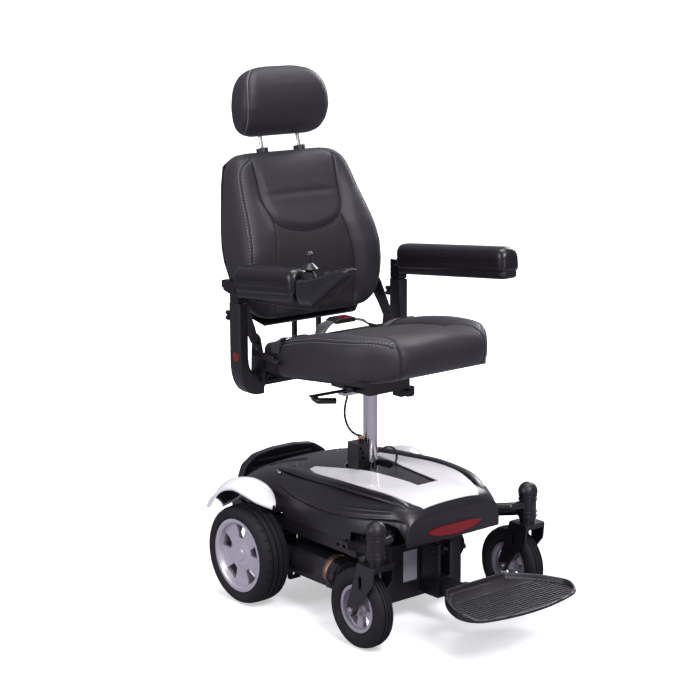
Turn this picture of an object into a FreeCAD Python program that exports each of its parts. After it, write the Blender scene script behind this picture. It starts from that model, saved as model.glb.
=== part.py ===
import FreeCAD, Part
import math
import os
import Sketcher

# Power wheelchair with two rear drive wheels, two front casters, a seat on a lift column,
# a reclining back, flip-up armrests, a joystick and a footrest.
# Lengths are in mm.  The floor is z = 0, the front is -y, the right-hand side is -x.
# Pieces are drawn with the drive axle at y = 0 and are moved back by axle_shift, so that
# the finished chair is centred.

Vec = FreeCAD.Vector
Rotation = FreeCAD.Rotation
Placement = FreeCAD.Placement
doc = FreeCAD.newDocument("power_wheelchair")
sheet = doc.addObject("Spreadsheet::Sheet", "Dims")


# ---------------------------------------------------------------- dimensions
class Quantity(object):
    """A number that remembers the spreadsheet expression it came from."""

    def __init__(self, value, text):
        self.v = float(value)
        self.text = text

    def __add__(self, other):
        other = quantity(other)
        return Quantity(self.v + other.v, "(%s + %s)" % (self.text, other.text))

    def __radd__(self, other):
        return quantity(other) + self

    def __sub__(self, other):
        other = quantity(other)
        return Quantity(self.v - other.v, "(%s - %s)" % (self.text, other.text))

    def __rsub__(self, other):
        return quantity(other) - self

    def __mul__(self, other):
        other = quantity(other)
        return Quantity(self.v * other.v, "(%s * %s)" % (self.text, other.text))

    def __truediv__(self, other):
        other = quantity(other)
        return Quantity(self.v / other.v, "(%s / %s)" % (self.text, other.text))

    def __neg__(self):
        return Quantity(-self.v, "(0 - %s)" % self.text)


def quantity(x):
    if isinstance(x, Quantity):
        return x
    return Quantity(x, "%.6g" % x if x >= 0 else "(0 - %.6g)" % -x)


def number(x):
    return quantity(x).v


row = [0]


def dim(alias, value, note):
    row[0] += 1
    sheet.set("A%d" % row[0], note)
    sheet.set("B%d" % row[0], "%.6g" % value)
    sheet.setAlias("B%d" % row[0], alias)
    return Quantity(value, "Dims." + alias)


axle_shift = dim("axle_shift", 276, "distance from the middle of the chair back to the drive axle")
tyre_radius = dim("drive_tyre_radius", 130, "drive tyre outer radius (260 x 85)")
tyre_half = dim("drive_tyre_half_width", 42, "drive tyre half width")
track_half = dim("drive_track_half", 273, "middle of the drive wheel from the centre line")
rim_radius = dim("drive_rim_radius", 97, "drive rim flange radius")
rim_half = dim("drive_rim_half_width", 37, "drive rim half width")
shaft_radius = dim("drive_shaft_radius", 10, "gearbox output shaft radius")
caster_radius = dim("caster_tyre_radius", 100, "caster tyre outer radius (200 x 50)")
caster_half = dim("caster_tyre_half_width", 25, "caster tyre half width")
caster_rim = dim("caster_rim_radius", 60, "caster rim flange radius")
stem_x = dim("caster_stem_x", 256, "caster swivel axis from the centre line")
stem_y = dim("caster_stem_y", -492.5, "caster swivel axis from the drive axle")
trail = dim("caster_trail", 52.5, "caster wheel axle behind its swivel axis")
bolt_radius = dim("caster_axle_radius", 6, "caster axle bolt radius")
stem_radius = dim("caster_stem_radius", 10, "caster fork stem radius")
gap = dim("running_gap", 0.05, "radial gap of every running fit")
post_radius = dim("post_radius", 19, "chrome seat post radius")
post_y = dim("post_y", -170, "seat post from the drive axle")
column_radius = dim("column_radius", 27, "outer lift column radius")
post_top = dim("post_top", 555, "height of the seat post top")
hole_radius = dim("shroud_hole_radius", 62, "post opening in the body cover")
cover_wall = dim("cover_wall", 3.5, "wall of the moulded body cover")
rail_outer = dim("rail_outer", 215, "outer face of the chassis side rail")
rail_bottom = dim("rail_bottom", 200, "underside of the chassis rails")
rail_top = dim("rail_top", 230, "top of the chassis rails")
crate_half = dim("battery_box_half_width", 118, "battery crate half width")
motor_x = dim("motor_x", 183, "drive motor axis from the centre line")
motor_z = dim("motor_z", 125, "drive motor axis height")
motor_radius = dim("motor_radius", 43, "drive motor radius")
seat_half = dim("seat_half_width", 232, "seat cushion half width")
back_half = dim("back_half_width", 223, "backrest half width at its widest")
arm_x = dim("arm_x", 270, "armrest middle from the centre line")
arm_width = dim("arm_width", 60, "armrest width")
arm_height = dim("arm_height", 80, "armrest pad and cover height")
flip_y = dim("arm_pivot_y", 30, "armrest flip axis from the drive axle")
flip_z = dim("arm_pivot_z", 823, "armrest flip axis height")
arm_length = {
    "R": dim("arm_length_right", 236, "right armrest length, in front of its post"),
    "L": dim("arm_length_left", 412, "left armrest length, in front of its post"),
}
arm_tilt = dim("arm_tilt", 5.5, "armrest rise toward the front, degrees")
recline_y = dim("recline_pivot_y", 20, "recline axis from the drive axle")
recline_z = dim("recline_pivot_z", 690, "recline axis height")
rod_radius = dim("headrest_rod_radius", 5, "headrest rod radius")
rod_x = dim("headrest_rod_x", 62, "headrest rod from the centre line")
stick_y = dim("stick_y", -262, "joystick from the drive axle")
stick_z = dim("stick_pivot_z", 893, "joystick pivot height")
hinge_y = dim("foot_hinge_y", -556, "footplate hinge from the drive axle")
hinge_z = dim("foot_hinge_z", 118, "footplate hinge height")
foot_half = dim("foot_half_width", 185, "footplate half width")
doc.recompute()

SIDES = (("R", -1), ("L", 1))
nodes = {}
count = [0]


def unique(stem):
    count[0] += 1
    return "%s_%d" % (stem, count[0])


def bind(obj, prop, x):
    if isinstance(x, Quantity):
        obj.setExpression(prop, x.text)
    else:
        setattr(obj, prop, float(x))


def place(obj, x, y, z, turn=None):
    obj.Placement = Placement(Vec(number(x), number(y), number(z)), turn or Rotation())
    for axis, v in (("x", x), ("y", y), ("z", z)):
        if isinstance(v, Quantity):
            obj.setExpression("Placement.Base." + axis, v.text)


def node(obj, label, x=0, y=0, z=0, turn=None):
    """Finish a piece: name it and set it back with the drive axle."""
    obj.Label = label
    place(obj, x, axle_shift + y, z, turn)
    nodes[label] = obj


def span(side, inner, outer):
    """Low and high x of a stretch given by its distances from the centre line."""
    return sorted((side * inner, side * outer))


# ------------------------------------------------------------ Part primitives
TURN = {"z": Rotation(), "x": Rotation(Vec(0, 1, 0), 90), "y": Rotation(Vec(1, 0, 0), -90)}


def block(x0, x1, y0, y1, z0, z1):
    o = doc.addObject("Part::Box", unique("Block"))
    for prop, lo, hi in (("Length", x0, x1), ("Width", y0, y1), ("Height", z0, z1)):
        bind(o, prop, hi - lo)
    place(o, x0, y0, z0)
    return o


def rod(radius, length, x, y, z, axis="z"):
    """A cylinder that starts at x, y, z and runs along +axis."""
    o = doc.addObject("Part::Cylinder", unique("Rod"))
    bind(o, "Radius", radius)
    bind(o, "Height", length)
    place(o, x, y, z, TURN[axis])
    return o


def cone(bottom, top, length, x, y, z):
    o = doc.addObject("Part::Cone", unique("Cone"))
    bind(o, "Radius1", bottom)
    bind(o, "Radius2", top)
    bind(o, "Height", length)
    place(o, x, y, z)
    return o


def ball(radius, x, y, z):
    o = doc.addObject("Part::Sphere", unique("Ball"))
    bind(o, "Radius", radius)
    place(o, x, y, z)
    return o


def fuse(*parts):
    o = doc.addObject("Part::MultiFuse", unique("Fuse"))
    o.Shapes = list(parts)
    return o


def cut(base, *tools):
    tool = tools[0] if len(tools) == 1 else fuse(*tools)
    o = doc.addObject("Part::Cut", unique("Cut"))
    o.Base = base
    o.Tool = tool
    return o


def common(*parts):
    o = doc.addObject("Part::MultiCommon", unique("Common"))
    o.Shapes = list(parts)
    return o


def round_edges(base, radius, pick):
    """Part::Fillet on the edges that pick() accepts."""
    doc.recompute()
    o = doc.addObject("Part::Fillet", unique("Round"))
    o.Base = base
    o.Edges = [(i + 1, radius, radius) for i, e in enumerate(base.Shape.Edges) if pick(e)]
    return o


def straight(edge, axis):
    """True for a straight edge along the axis 0, 1 or 2."""
    if len(edge.Vertexes) != 2:
        return False
    run = edge.Vertexes[1].Point - edge.Vertexes[0].Point
    chord = run.Length
    if chord < 1e-6:
        return False
    run.normalize()
    return abs(abs(run[axis]) - 1) < 1e-4 and abs(edge.Length - chord) < 1e-4


# --------------------------------------------------------------- plain shapes
def feature(shape):
    o = doc.addObject("Part::Feature", unique("Form"))
    o.Shape = shape
    return o


def side_box(side, inner, outer, y0, y1, z0, z1):
    x0, x1 = span(side, inner, outer)
    return Part.makeBox(x1 - x0, y1 - y0, z1 - z0, Vec(x0, y0, z0))


def tube(points, radius):
    """Round tube through the points, with balls at the bends."""
    shape = None
    for start, end in zip(points, points[1:]):
        start, end = Vec(*start), Vec(*end)
        piece = Part.makeCylinder(radius, (end - start).Length, start, end - start)
        shape = piece if shape is None else shape.fuse(piece)
    for point in points[1:-1]:
        shape = shape.fuse(Part.makeSphere(radius, Vec(*point)))
    return shape.removeSplitter()


def bar(start, end, wide, tall):
    """Flat or square bar, a quarter of its width longer than the run at each end."""
    start = Vec(*start)
    run = Vec(*end) - start
    corner = Vec(-wide * 0.25, -wide / 2.0, -tall / 2.0)
    shape = Part.makeBox(run.Length + wide * 0.5, wide, tall, corner)
    yaw = math.degrees(math.atan2(run.y, run.x))
    pitch = -math.degrees(math.asin(run.z / run.Length))
    shape.Placement = Placement(start, Rotation(yaw, pitch, 0))
    return shape.removeSplitter()


def spline(points):
    curve = Part.BSplineCurve()
    curve.interpolate(points)
    return curve.toShape()


def largest(shape):
    return max(shape.Solids, key=lambda solid: solid.Volume)


# ------------------------------------------------------- PartDesign sub-parts
# A loop is ("circle", u, v, radius) or a list of corners (u, v) or (u, v, corner radius).
def new_body(stem):
    return doc.addObject("PartDesign::Body", unique(stem))


def origin_part(body, role):
    return [f for f in body.Origin.OriginFeatures if f.Role == role][0]


def add_circle(sketch, u, v, radius):
    circle = Part.Circle(Vec(number(u), number(v), 0), Vec(0, 0, 1), number(radius))
    index = sketch.addGeometry(circle, False)
    if isinstance(radius, Quantity):
        c = sketch.addConstraint(Sketcher.Constraint("Radius", index, radius.v))
        sketch.setExpression("Constraints[%d]" % c, radius.text)


def add_polygon(sketch, loop, points):
    """Sharp polygon; corners given as quantities are bound to the spreadsheet."""
    n = len(loop)
    lines = [sketch.addGeometry(Part.LineSegment(points[i], points[(i + 1) % n]), False)
             for i in range(n)]
    for i in range(n):
        sketch.addConstraint(Sketcher.Constraint("Coincident", lines[i], 2, lines[(i + 1) % n], 1))
    for i in range(n):
        for kind, w in (("DistanceX", loop[i][0]), ("DistanceY", loop[i][1])):
            if isinstance(w, Quantity) and abs(w.v) > 1e-9:
                c = sketch.addConstraint(Sketcher.Constraint(kind, -1, 1, lines[i], 1, w.v))
                sketch.setExpression("Constraints[%d]" % c, w.text)


def add_rounded(sketch, points, radii):
    """Polygon with an arc at every corner that has a radius."""
    n = len(points)
    corners = []
    for i in range(n):
        corner, radius = points[i], radii[i]
        if not radius:
            corners.append((corner, corner, None))
            continue
        back = (points[i - 1] - corner).normalize()
        ahead = (points[(i + 1) % n] - corner).normalize()
        half = back.getAngle(ahead) / 2
        setback = radius / math.tan(half)
        inward = (back + ahead).normalize()
        centre = corner + inward * (radius / math.sin(half))
        corners.append((corner + back * setback, corner + ahead * setback,
                        centre - inward * radius))
    for i in range(n):
        start, end, middle = corners[i]
        if middle is not None:
            sketch.addGeometry(Part.Arc(start, middle, end), False)
        following = corners[(i + 1) % n][0]
        if end.distanceToPoint(following) > 1e-6:
            sketch.addGeometry(Part.LineSegment(end, following), False)


def plane_sketch(body, plane, loops, at=0):
    """A sketch on a plane of the body, moved along that plane's world axis to at."""
    sketch = body.newObject("Sketcher::SketchObject", unique("Sketch"))
    sketch.AttachmentSupport = [(origin_part(body, plane + "_Plane"), "")]
    sketch.MapMode = "FlatFace"
    # the normal of the XZ plane is -y
    offset = -quantity(at) if plane == "XZ" else quantity(at)
    sketch.AttachmentOffset = Placement(Vec(0, 0, offset.v), Rotation())
    if isinstance(at, Quantity):
        sketch.setExpression("AttachmentOffset.Base.z", offset.text)
    for loop in loops:
        if loop[0] == "circle":
            add_circle(sketch, *loop[1:])
            continue
        points = [Vec(number(p[0]), number(p[1]), 0) for p in loop]
        radii = [p[2] if len(p) > 2 else 0 for p in loop]
        if any(radii):
            add_rounded(sketch, points, radii)
        else:
            add_polygon(sketch, loop, points)
    return sketch


def pad(body, plane, lo, hi, *loops):
    sketch = plane_sketch(body, plane, loops, hi if plane == "XZ" else lo)
    f = body.newObject("PartDesign::Pad", unique("Pad"))
    f.Profile = sketch
    bind(f, "Length", hi - lo)
    body.Tip = f
    doc.recompute()


def padded(stem, plane, lo, hi, *loops):
    body = new_body(stem)
    pad(body, plane, lo, hi, *loops)
    return body


def pocket(body, plane, lo, hi, *loops):
    before = body.Shape.Volume
    sketch = plane_sketch(body, plane, loops, lo if plane == "XZ" else hi)
    f = body.newObject("PartDesign::Pocket", unique("Pocket"))
    f.Profile = sketch
    bind(f, "Length", hi - lo)
    body.Tip = f
    doc.recompute()
    if not body.Shape.Volume < before - 1e-3:
        raise RuntimeError("a pocket removed nothing in " + body.Name)
    return f


def turned(stem, profile):
    """A body from an (axial, radial) profile turned about the x axis."""
    body = new_body(stem)
    sketch = plane_sketch(body, "XY", [profile])
    f = body.newObject("PartDesign::Revolution", unique("Turn"))
    f.Profile = sketch
    f.ReferenceAxis = (sketch, ["H_Axis"])
    f.Angle = 360.0
    body.Tip = f
    doc.recompute()
    return body


def polar(body, original, n):
    """Repeat a feature n times about the x axis."""
    before = body.Shape.Volume
    f = body.newObject("PartDesign::PolarPattern", unique("Polar"))
    f.Originals = [original]
    f.Axis = (origin_part(body, "X_Axis"), [""])
    f.Angle = 360.0
    f.Occurrences = n
    body.Tip = f
    doc.recompute()
    if not abs(body.Shape.Volume - before) > 1e-3:
        raise RuntimeError("a pattern changed nothing in " + body.Name)


def fillet(body, radius, pick):
    base = body.Tip
    names = ["Edge%d" % (i + 1) for i, e in enumerate(base.Shape.Edges) if pick(e)]
    f = body.newObject("PartDesign::Fillet", unique("Fillet"))
    f.Base = (base, names)
    bind(f, "Radius", radius)
    body.Tip = f
    doc.recompute()
    if "Invalid" in f.State or body.Shape.isNull():
        raise RuntimeError("a fillet failed in " + body.Name)


def rect(u0, u1, v0, v1, r=0):
    corners = [(u0, v0), (u1, v0), (u1, v1), (u0, v1)]
    return [(u, v, r) for u, v in corners] if r else corners


def mirrored(points):
    """The outline on the other side of u = 0, in reverse order."""
    return [(-p[0],) + tuple(p[1:]) for p in reversed(points)]


def symmetric(points):
    return points + mirrored(points)


# --------------------------------------------------------------------- wheels
def side_turn(side):
    """Wheels are drawn for the left; the right one is turned about z."""
    return Rotation() if side > 0 else Rotation(Vec(0, 0, 1), 180)


def drive_tyre(tag, side):
    """C-shaped carcass with ring grooves and slanted cross cuts."""
    half, radius = tyre_half, tyre_radius
    tread = [(32.9, 90.05), (32.9, 97.4), (39.6, 102.5), (half, radius - 18),
             (half - 2, radius - 10), (half - 7, radius - 4.5), (26, radius - 1.5),
             (19, radius - 0.7), (18.5, radius - 5), (14.5, radius - 5), (14, radius - 0.4),
             (2.5, radius), (2, radius - 5)]
    cavity = [(-25, 90.05), (-31, radius - 24), (-28, radius - 12), (-18, radius - 9.5)]
    body = turned("DriveTyre", symmetric(tread) + symmetric(cavity))
    cross_cuts = pocket(body, "XY", radius - 3, radius + 3,
                        [(20, -2.5), (half, -4.5), (half, 0.5), (20, 2.5)],
                        [(-20, -2.5), (-20, 2.5), (-half, 0.5), (-half, -4.5)])
    polar(body, cross_cuts, 30)
    node(body, "rear_tyre_" + tag, track_half * side, 0, tyre_radius, side_turn(side))


def drive_rim(tag, side):
    """Dished rim with five broad spokes and a blind hub for the gearbox shaft."""
    half, flange, bore = rim_half, rim_radius, shaft_radius + gap
    body = turned("DriveRim", [
        (half, flange), (33, flange), (33, flange - 7), (-33, flange - 7), (-33, flange),
        (-half, flange), (-half, flange - 11), (13, flange - 11), (13, 60), (11, 24), (-half, 24),
        (-half, bore), (23, bore), (23, 0), (30, 0), (30, 15), (27, 18), (27, 30), (24, 40),
        (21, 66), (24, flange - 15), (34, flange - 12), (half, flange - 8)])
    window = pocket(body, "YZ", 0, 60, [(-8, 44, 4), (8, 44, 4), (21, 79, 4), (-21, 79, 4)])
    polar(body, window, 5)
    node(body, "rear_rim_" + tag, track_half * side, 0, tyre_radius, side_turn(side))


def caster_tyre(tag, side):
    half, radius = caster_half, caster_radius
    tread = [(14.9, 55.05), (14.9, 60.6), (20, 65), (half - 1, radius - 27), (half, radius - 18),
             (half - 2.5, radius - 9), (18, radius - 3.5), (11, radius - 1.2),
             (10.5, radius - 4), (8, radius - 4), (7.5, radius - 0.6), (1.5, radius),
             (1, radius - 3.5)]
    cavity = [(-11, 55.05), (-17, radius - 27), (-16, radius - 13), (-9, radius - 8)]
    body = turned("CasterTyre", symmetric(tread) + symmetric(cavity))
    node(body, "caster_tyre_" + tag, stem_x * side, stem_y + trail, caster_radius,
         side_turn(side))


def caster_rim_wheel(tag, side):
    flange, bore = caster_rim, bolt_radius + gap
    body = turned("CasterRim", [
        (17.5, flange), (15, flange), (15, flange - 5), (-15, flange - 5), (-15, flange),
        (-17.5, flange), (-17.5, flange - 8), (-6, flange - 9), (-5, 18), (-26, 14),
        (-26, bore), (26, bore), (26, 14), (10, 16), (5, 20), (7, flange - 9),
        (17.5, flange - 8)])
    window = pocket(body, "YZ", -30, 30, [(-7, 24, 2), (7, 24, 2), (19, 47, 2), (-19, 47, 2)])
    polar(body, window, 5)
    node(body, "caster_rim_" + tag, stem_x * side, stem_y + trail, caster_radius,
         side_turn(side))


# --------------------------------------------------- caster forks, arms, caps
FORK_INNER, FORK_OUTER = 28.5, 33.5  # faces of the fork plates from the stem axis
CROWN_TOP = 226
RING_TOP = 236.9


def caster_fork(tag, side):
    """Two plates, crown, dust ring and stem, drawn about the stem axis."""
    plate = [(-30, CROWN_TOP, 6), (33, CROWN_TOP, 6), (38, 196, 20), (70, 112, 12),
             (66, 88, 12), (44, 84, 14), (26, 118, 20), (-26, 182, 14)]
    slot = rect(14, 26, 160, 196, 5)
    body = new_body("Fork")
    for x0, x1 in ((-FORK_OUTER, -FORK_INNER), (FORK_INNER, FORK_OUTER)):
        pad(body, "YZ", x0, x1, plate, slot, ("circle", trail.v, caster_radius.v, bolt_radius))
    pad(body, "XY", 213, CROWN_TOP, rect(-FORK_OUTER, FORK_OUTER, -30, 33, 5))
    pad(body, "XY", CROWN_TOP, RING_TOP, ("circle", 0, 0, 20))
    pad(body, "XY", RING_TOP, 314, ("circle", 0, 0, stem_radius))
    node(body, "caster_fork_" + tag, stem_x * side, stem_y)


def caster_axle(tag, side):
    """Bolt with a head, a nut and two spacers inside the fork."""
    # (radius, length, start x) from the stem axis
    steps = [(bolt_radius, 84, -42), (9.5, 6, -39.5), (9.5, 6, FORK_OUTER), (8, 2.3, 26.1),
             (8, 2.3, -28.4)]
    bolt = fuse(*[rod(r, length, x, trail, caster_radius, "x") for r, length, x in steps])
    node(bolt, "caster_axle_" + tag, stem_x * side, stem_y)


def caster_arm(tag, side):
    """Barrel with collars, upper round tube, lower square brace and two mounting blocks."""
    x, y = stem_x.v * side, stem_y.v
    shape = Part.makeCylinder(22.5, 66, Vec(x, y, 237))
    for z in (241, 252, 285, 296):
        shape = shape.fuse(Part.makeCylinder(24.5, 4, Vec(x, y, z)))
    shape = shape.fuse(tube([(x - side * 8, y, 272), (side * 205, -481, 272),
                             (side * 172, -445, 268), (side * 165, -395, 256),
                             (side * 165, -353, 246)], 12))
    shape = shape.fuse(bar((x - side * 4, y + 14, 254), (side * 212, -352, 228), 22, 22))
    shape = shape.fuse(side_box(side, 145, 185, -353, -345, 216, 262))
    shape = shape.fuse(side_box(side, 190, 216, -370, -340, 199, 231))
    shape = shape.cut(Part.makeCylinder(stem_radius.v + gap.v, 90, Vec(x, y, 225)))
    node(feature(shape.removeSplitter()), "caster_arm_" + tag)


def caster_caps():
    """Domed caps over the stem ends."""
    caps = []
    for _, side in SIDES:
        x = stem_x * side
        dome = common(ball(25.5, x, stem_y, 307),
                      block(x - 30, x + 30, stem_y - 30, stem_y + 30, 303, 340))
        caps.append(cut(fuse(dome, rod(23, 3, x, stem_y, 303)), rod(13, 14, x, stem_y, 302)))
    node(fuse(*caps), "caster_caps")


# -------------------------------------------------------- chassis and drives
# Frame blocks across the centre line: x0, x1, y0, y1, z0, z1
CROSS_BLOCKS = [
    (-190, 190, -345, -315, 216, 246),  # front cross member
    (-195, 195, 100, 130, 200, 230),    # rear cross member
    (-195, 195, -205, -135, 216, 246),  # plate around the lift column
    (-128, 128, -342, 34, 58, 64),      # floor under the batteries
    (-195, 195, 4, 30, 216, 230),       # cross member over the drive axle
    (-40, 40, -404, -345, 214, 244),    # tongue for the footrest
]
TRAYS = ((-392, -232), (-108, -8))      # y0, y1 of the front and rear battery trays
TRAY_FLOOR = 68
TRAY_TOP = 212


def chassis_frame():
    pieces = []
    for _, side in SIDES:
        pieces.append(block(*span(side, 190, rail_outer.v), -340, 150, rail_bottom, rail_top))
        for y0, y1 in ((-342, -300), (0, 34)):
            pieces.append(block(*span(side, 122, 128), y0, y1, 58, 236))
    pieces += [block(*limits) for limits in CROSS_BLOCKS]
    holes = [rod(column_radius, 300, 0, post_y, 60)]
    for _, side in SIDES:
        for y in (-322, -298):
            holes.append(rod(5, 40, span(side, 188, 228)[0], y, 216, "x"))
    node(cut(fuse(*pieces), *holes), "chassis_frame")


def battery_box():
    """Two open trays joined by straps, with windows in the front and side walls."""
    half, wall = crate_half, 4
    body = new_body("Crate")
    for y0, y1 in TRAYS:
        pad(body, "XY", 64, TRAY_TOP, rect(-half, half, y0, y1))
    pad(body, "XY", 64, 72, rect(-half, -half + 18, -240, -100), rect(half - 18, half, -240, -100))
    for y0, y1 in TRAYS:
        pocket(body, "XY", TRAY_FLOOR, TRAY_TOP,
               rect(-half + wall, half - wall, y0 + wall, y1 - wall))
    pocket(body, "XZ", -400, -380, rect(-80, -30, 108, 190, 3), rect(30, 80, 108, 190, 3))
    for wall_x in (half, -half):
        pocket(body, "YZ", wall_x - 10, wall_x + 10, rect(-368, -256, 108, 190, 3))
    node(body, "battery_box")


def batteries():
    inset, top = 6, 198
    half = crate_half - inset
    cells = []
    for y0, y1 in TRAYS:
        middle = (y0 + y1) / 2
        cells.append(fuse(block(-half, half, y0 + inset, y1 - inset, TRAY_FLOOR, top),
                          rod(7, 8, 80, middle, top), rod(7, 8, -80, middle, top)))
    node(fuse(*cells), "batteries")


def drive_unit(tag, side):
    x = motor_x * side
    inner, outer = 150, 226  # gearbox faces from the centre line
    unit = fuse(
        # motor, end band, end disc and side stub
        rod(motor_radius, 232, x, -270, motor_z, "y"),
        rod(motor_radius - 1.5, 24, x, -290, motor_z, "y"),
        rod(motor_radius - 6, 8, x, -297, motor_z, "y"),
        rod(9, 16, x + span(side, 35, 51)[0], -279, motor_z - 14, "x"),
        # gearbox, shaft and shaft collar
        round_edges(block(*span(side, inner, outer), -48, 52, 80, 180), 12,
                    lambda e: straight(e, 0)),
        rod(shaft_radius, 68, span(side, outer, outer + 68)[0], 0, tyre_radius, "x"),
        rod(28, 4, span(side, outer, outer + 4)[0], 0, tyre_radius, "x"),
        # block up to the rail, then the tie-down eye
        block(*span(side, 190, outer), -30, 34, 176, rail_bottom.v),
        block(*span(side, inner, 184), -62, -50, 52, 92),
        block(*span(side, inner, 184), -62, -40, 80, 92))
    node(cut(unit, rod(8, 30, 167 * side, -70, 66, "y")), "drive_unit_" + tag)


# ---------------------------------------------------------------- lift column
HEAD_TOP = 345                 # top of the column head plate
BLOCK_X = (-62, -22)           # lift block on the head plate
BLOCK_Y = (-192, -150)
GLAND_X, GLAND_Y = -33, -171   # cable gland on the lift block


def lift_column():
    """Blind outer tube with a head plate."""
    column = fuse(rod(column_radius, 281, 0, post_y, 64),
                  block(-64, 36, post_y - 34, post_y + 34, HEAD_TOP - 10, HEAD_TOP))
    node(cut(column, rod(post_radius + gap, 300, 0, post_y, 90)), "lift_column")


def lift_block():
    body = cut(round_edges(block(*BLOCK_X, *BLOCK_Y, HEAD_TOP, 424), 3, lambda e: straight(e, 2)),
               rod(4, 60, -52, -200, 412, "y"), rod(4, 60, -32, -200, 356, "y"),
               rod(5, 60, -42, -200, 384, "y"), block(-58, -40, -196, -188, 396, 405))
    gland = fuse(rod(5.5, 11, GLAND_X, GLAND_Y, 423), rod(7.5, 5, GLAND_X, GLAND_Y, 423.5))
    node(fuse(body, gland), "lift_block")


# ----------------------------------------------------------------- body cover
# Cross-sections from back to front: y, then half profile (x, z) from the centre line
# out and down.
COVER_SECTIONS = [
    (152, [(0, 303), (55, 302), (110, 298), (150, 290), (176, 274), (186, 255), (189, 234)]),
    (105, [(0, 324), (60, 323), (118, 319), (158, 310), (190, 290), (205, 262), (209, 234)]),
    (40, [(0, 338), (70, 337), (130, 333), (166, 323), (200, 300), (216, 268), (219, 234)]),
    (-60, [(0, 349), (70, 347), (126, 341), (164, 335), (200, 307), (218, 272), (222, 232)]),
    (-150, [(0, 355), (70, 352), (141, 344), (166, 343), (201, 312), (219, 274), (224, 229)]),
    (-240, [(0, 358), (70, 356), (146, 350), (168, 348), (202, 318), (219, 278), (224, 227)]),
    (-320, [(0, 357), (70, 356), (141, 352), (164, 345), (196, 318), (213, 278), (219, 227)]),
    (-385, [(0, 355), (65, 354), (129, 349), (154, 344), (181, 318), (197, 282), (203, 230)]),
    (-435, [(0, 350), (58, 348), (114, 340), (143, 338), (166, 316), (178, 286), (181, 236)]),
    (-470, [(0, 340), (52, 338.5), (104, 331), (130, 326), (153, 308), (163, 284), (165, 236)]),
    (-492, [(0, 313), (50, 312.5), (100, 310.5), (126, 305), (146, 293), (154, 272), (155, 238)]),
]
# Plan outline (x, y) of the left half of the panel: outer edge, then inner edge
PANEL_OUTER = [(100, -66), (122, -70), (139, -120), (144, -180), (146, -240), (143.5, -300),
               (135, -360), (120, -420), (107, -458), (92, -481)]
PANEL_INNER = [(35, -395), (35.5, -360), (41, -300), (48.5, -240), (62, -186), (68, -165),
               (76, -140)]
# Fender stations from back to front: y, then top line (x, z) from the inner edge out
FENDER_SECTIONS = [
    (141, [(262, 243), (284, 243), (303, 235)]), (100, [(229, 293), (272, 291), (312, 273)]),
    (55, [(227, 320), (272, 321), (315, 303)]), (10, [(226.5, 331), (272, 331), (316, 313)]),
    (-30, [(226.5, 333), (268, 329), (312, 304)]), (-65, [(226.5, 326), (258, 314), (294, 288)]),
    (-95, [(226.5, 308), (248, 296), (272, 280)]), (-118, [(226.5, 284), (236, 279), (248, 273)]),
]
FENDER_WALL = 3.2


def cover_solid(grow=0, end_grow=0, drop=0):
    """Loft of the cover outline, grown outward by grow (negative shrinks it)."""
    wires = []
    for k, (y, half) in enumerate(COVER_SECTIONS):
        if k == 0:
            y += end_grow
        elif k == len(COVER_SECTIONS) - 1:
            y -= end_grow
        points = []
        for i, (x, z) in enumerate(half):
            before, after = half[max(i - 1, 0)], half[min(i + 1, len(half) - 1)]
            run_x, run_z = after[0] - before[0], after[1] - before[1]
            if i == 0:
                run_x, run_z = 1, 0
            length = math.hypot(run_x, run_z)
            points.append((x + grow * (-run_z) / length, z + grow * run_x / length))
        points[-1] = (points[-1][0], points[-1][1] - drop)
        full = [Vec(-x, y, z) for x, z in reversed(points)] + [Vec(x, y, z) for x, z in points[1:]]
        wires.append(Part.Wire([spline(full), Part.makeLine(full[-1], full[0])]))
    return Part.makeLoft(wires, True, False)


def lift_block_slot():
    """Clearance around the lift block."""
    clear = 1.5
    return Part.makeBox(BLOCK_X[1] - BLOCK_X[0] + 2 * clear, BLOCK_Y[1] - BLOCK_Y[0] + 2 * clear,
                        50, Vec(BLOCK_X[0] - clear, BLOCK_Y[0] - clear, 325))


def main_shroud(outer):
    skin = outer.cut(cover_solid(-cover_wall.v, -cover_wall.v, 30))
    skin = skin.cut(Part.makeCylinder(hole_radius.v, 200, Vec(0, post_y.v + 4, 300)))
    # round opening in each flank, near the front
    for _, side in SIDES:
        skin = skin.cut(Part.makeCylinder(58, 120, Vec(side * 118, -432, 232), Vec(side, 0, 0)))
    # stepped notch in each lower edge
    for _, side in SIDES:
        skin = skin.cut(side_box(side, 190, 250, -382, -322, 190, 232))
        skin = skin.cut(side_box(side, 190, 250, -382, -338, 190, 256))
    node(feature(largest(skin.cut(lift_block_slot()))), "main_shroud")


def shroud_panel(outer):
    """U-shaped panel lying on the cover."""
    upper = cover_solid(2.4)
    plan = PANEL_OUTER + mirrored(PANEL_OUTER)
    plan += [(-x, y) for x, y in reversed(PANEL_INNER)] + PANEL_INNER
    outline = [Vec(x, y, 250) for x, y in plan]
    prism = Part.Face(Part.makePolygon(outline + outline[:1])).extrude(Vec(0, 0, 200))
    panel = upper.common(prism).cut(outer).cut(lift_block_slot())
    node(feature(largest(panel)), "shroud_panel")


def body_cover():
    outer = cover_solid()
    main_shroud(outer)
    shroud_panel(outer)


def front_reflector():
    """Lens-shaped reflector on the front of the cover."""
    lens = [(-97, 269, 3), (-50, 275, 60), (50, 275, 60), (97, 269, 3), (60, 254, 40),
            (0, 248, 60), (-60, 254, 40)]
    node(padded("Lens", "XZ", -496, -492.05, lens), "front_reflector")


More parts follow.
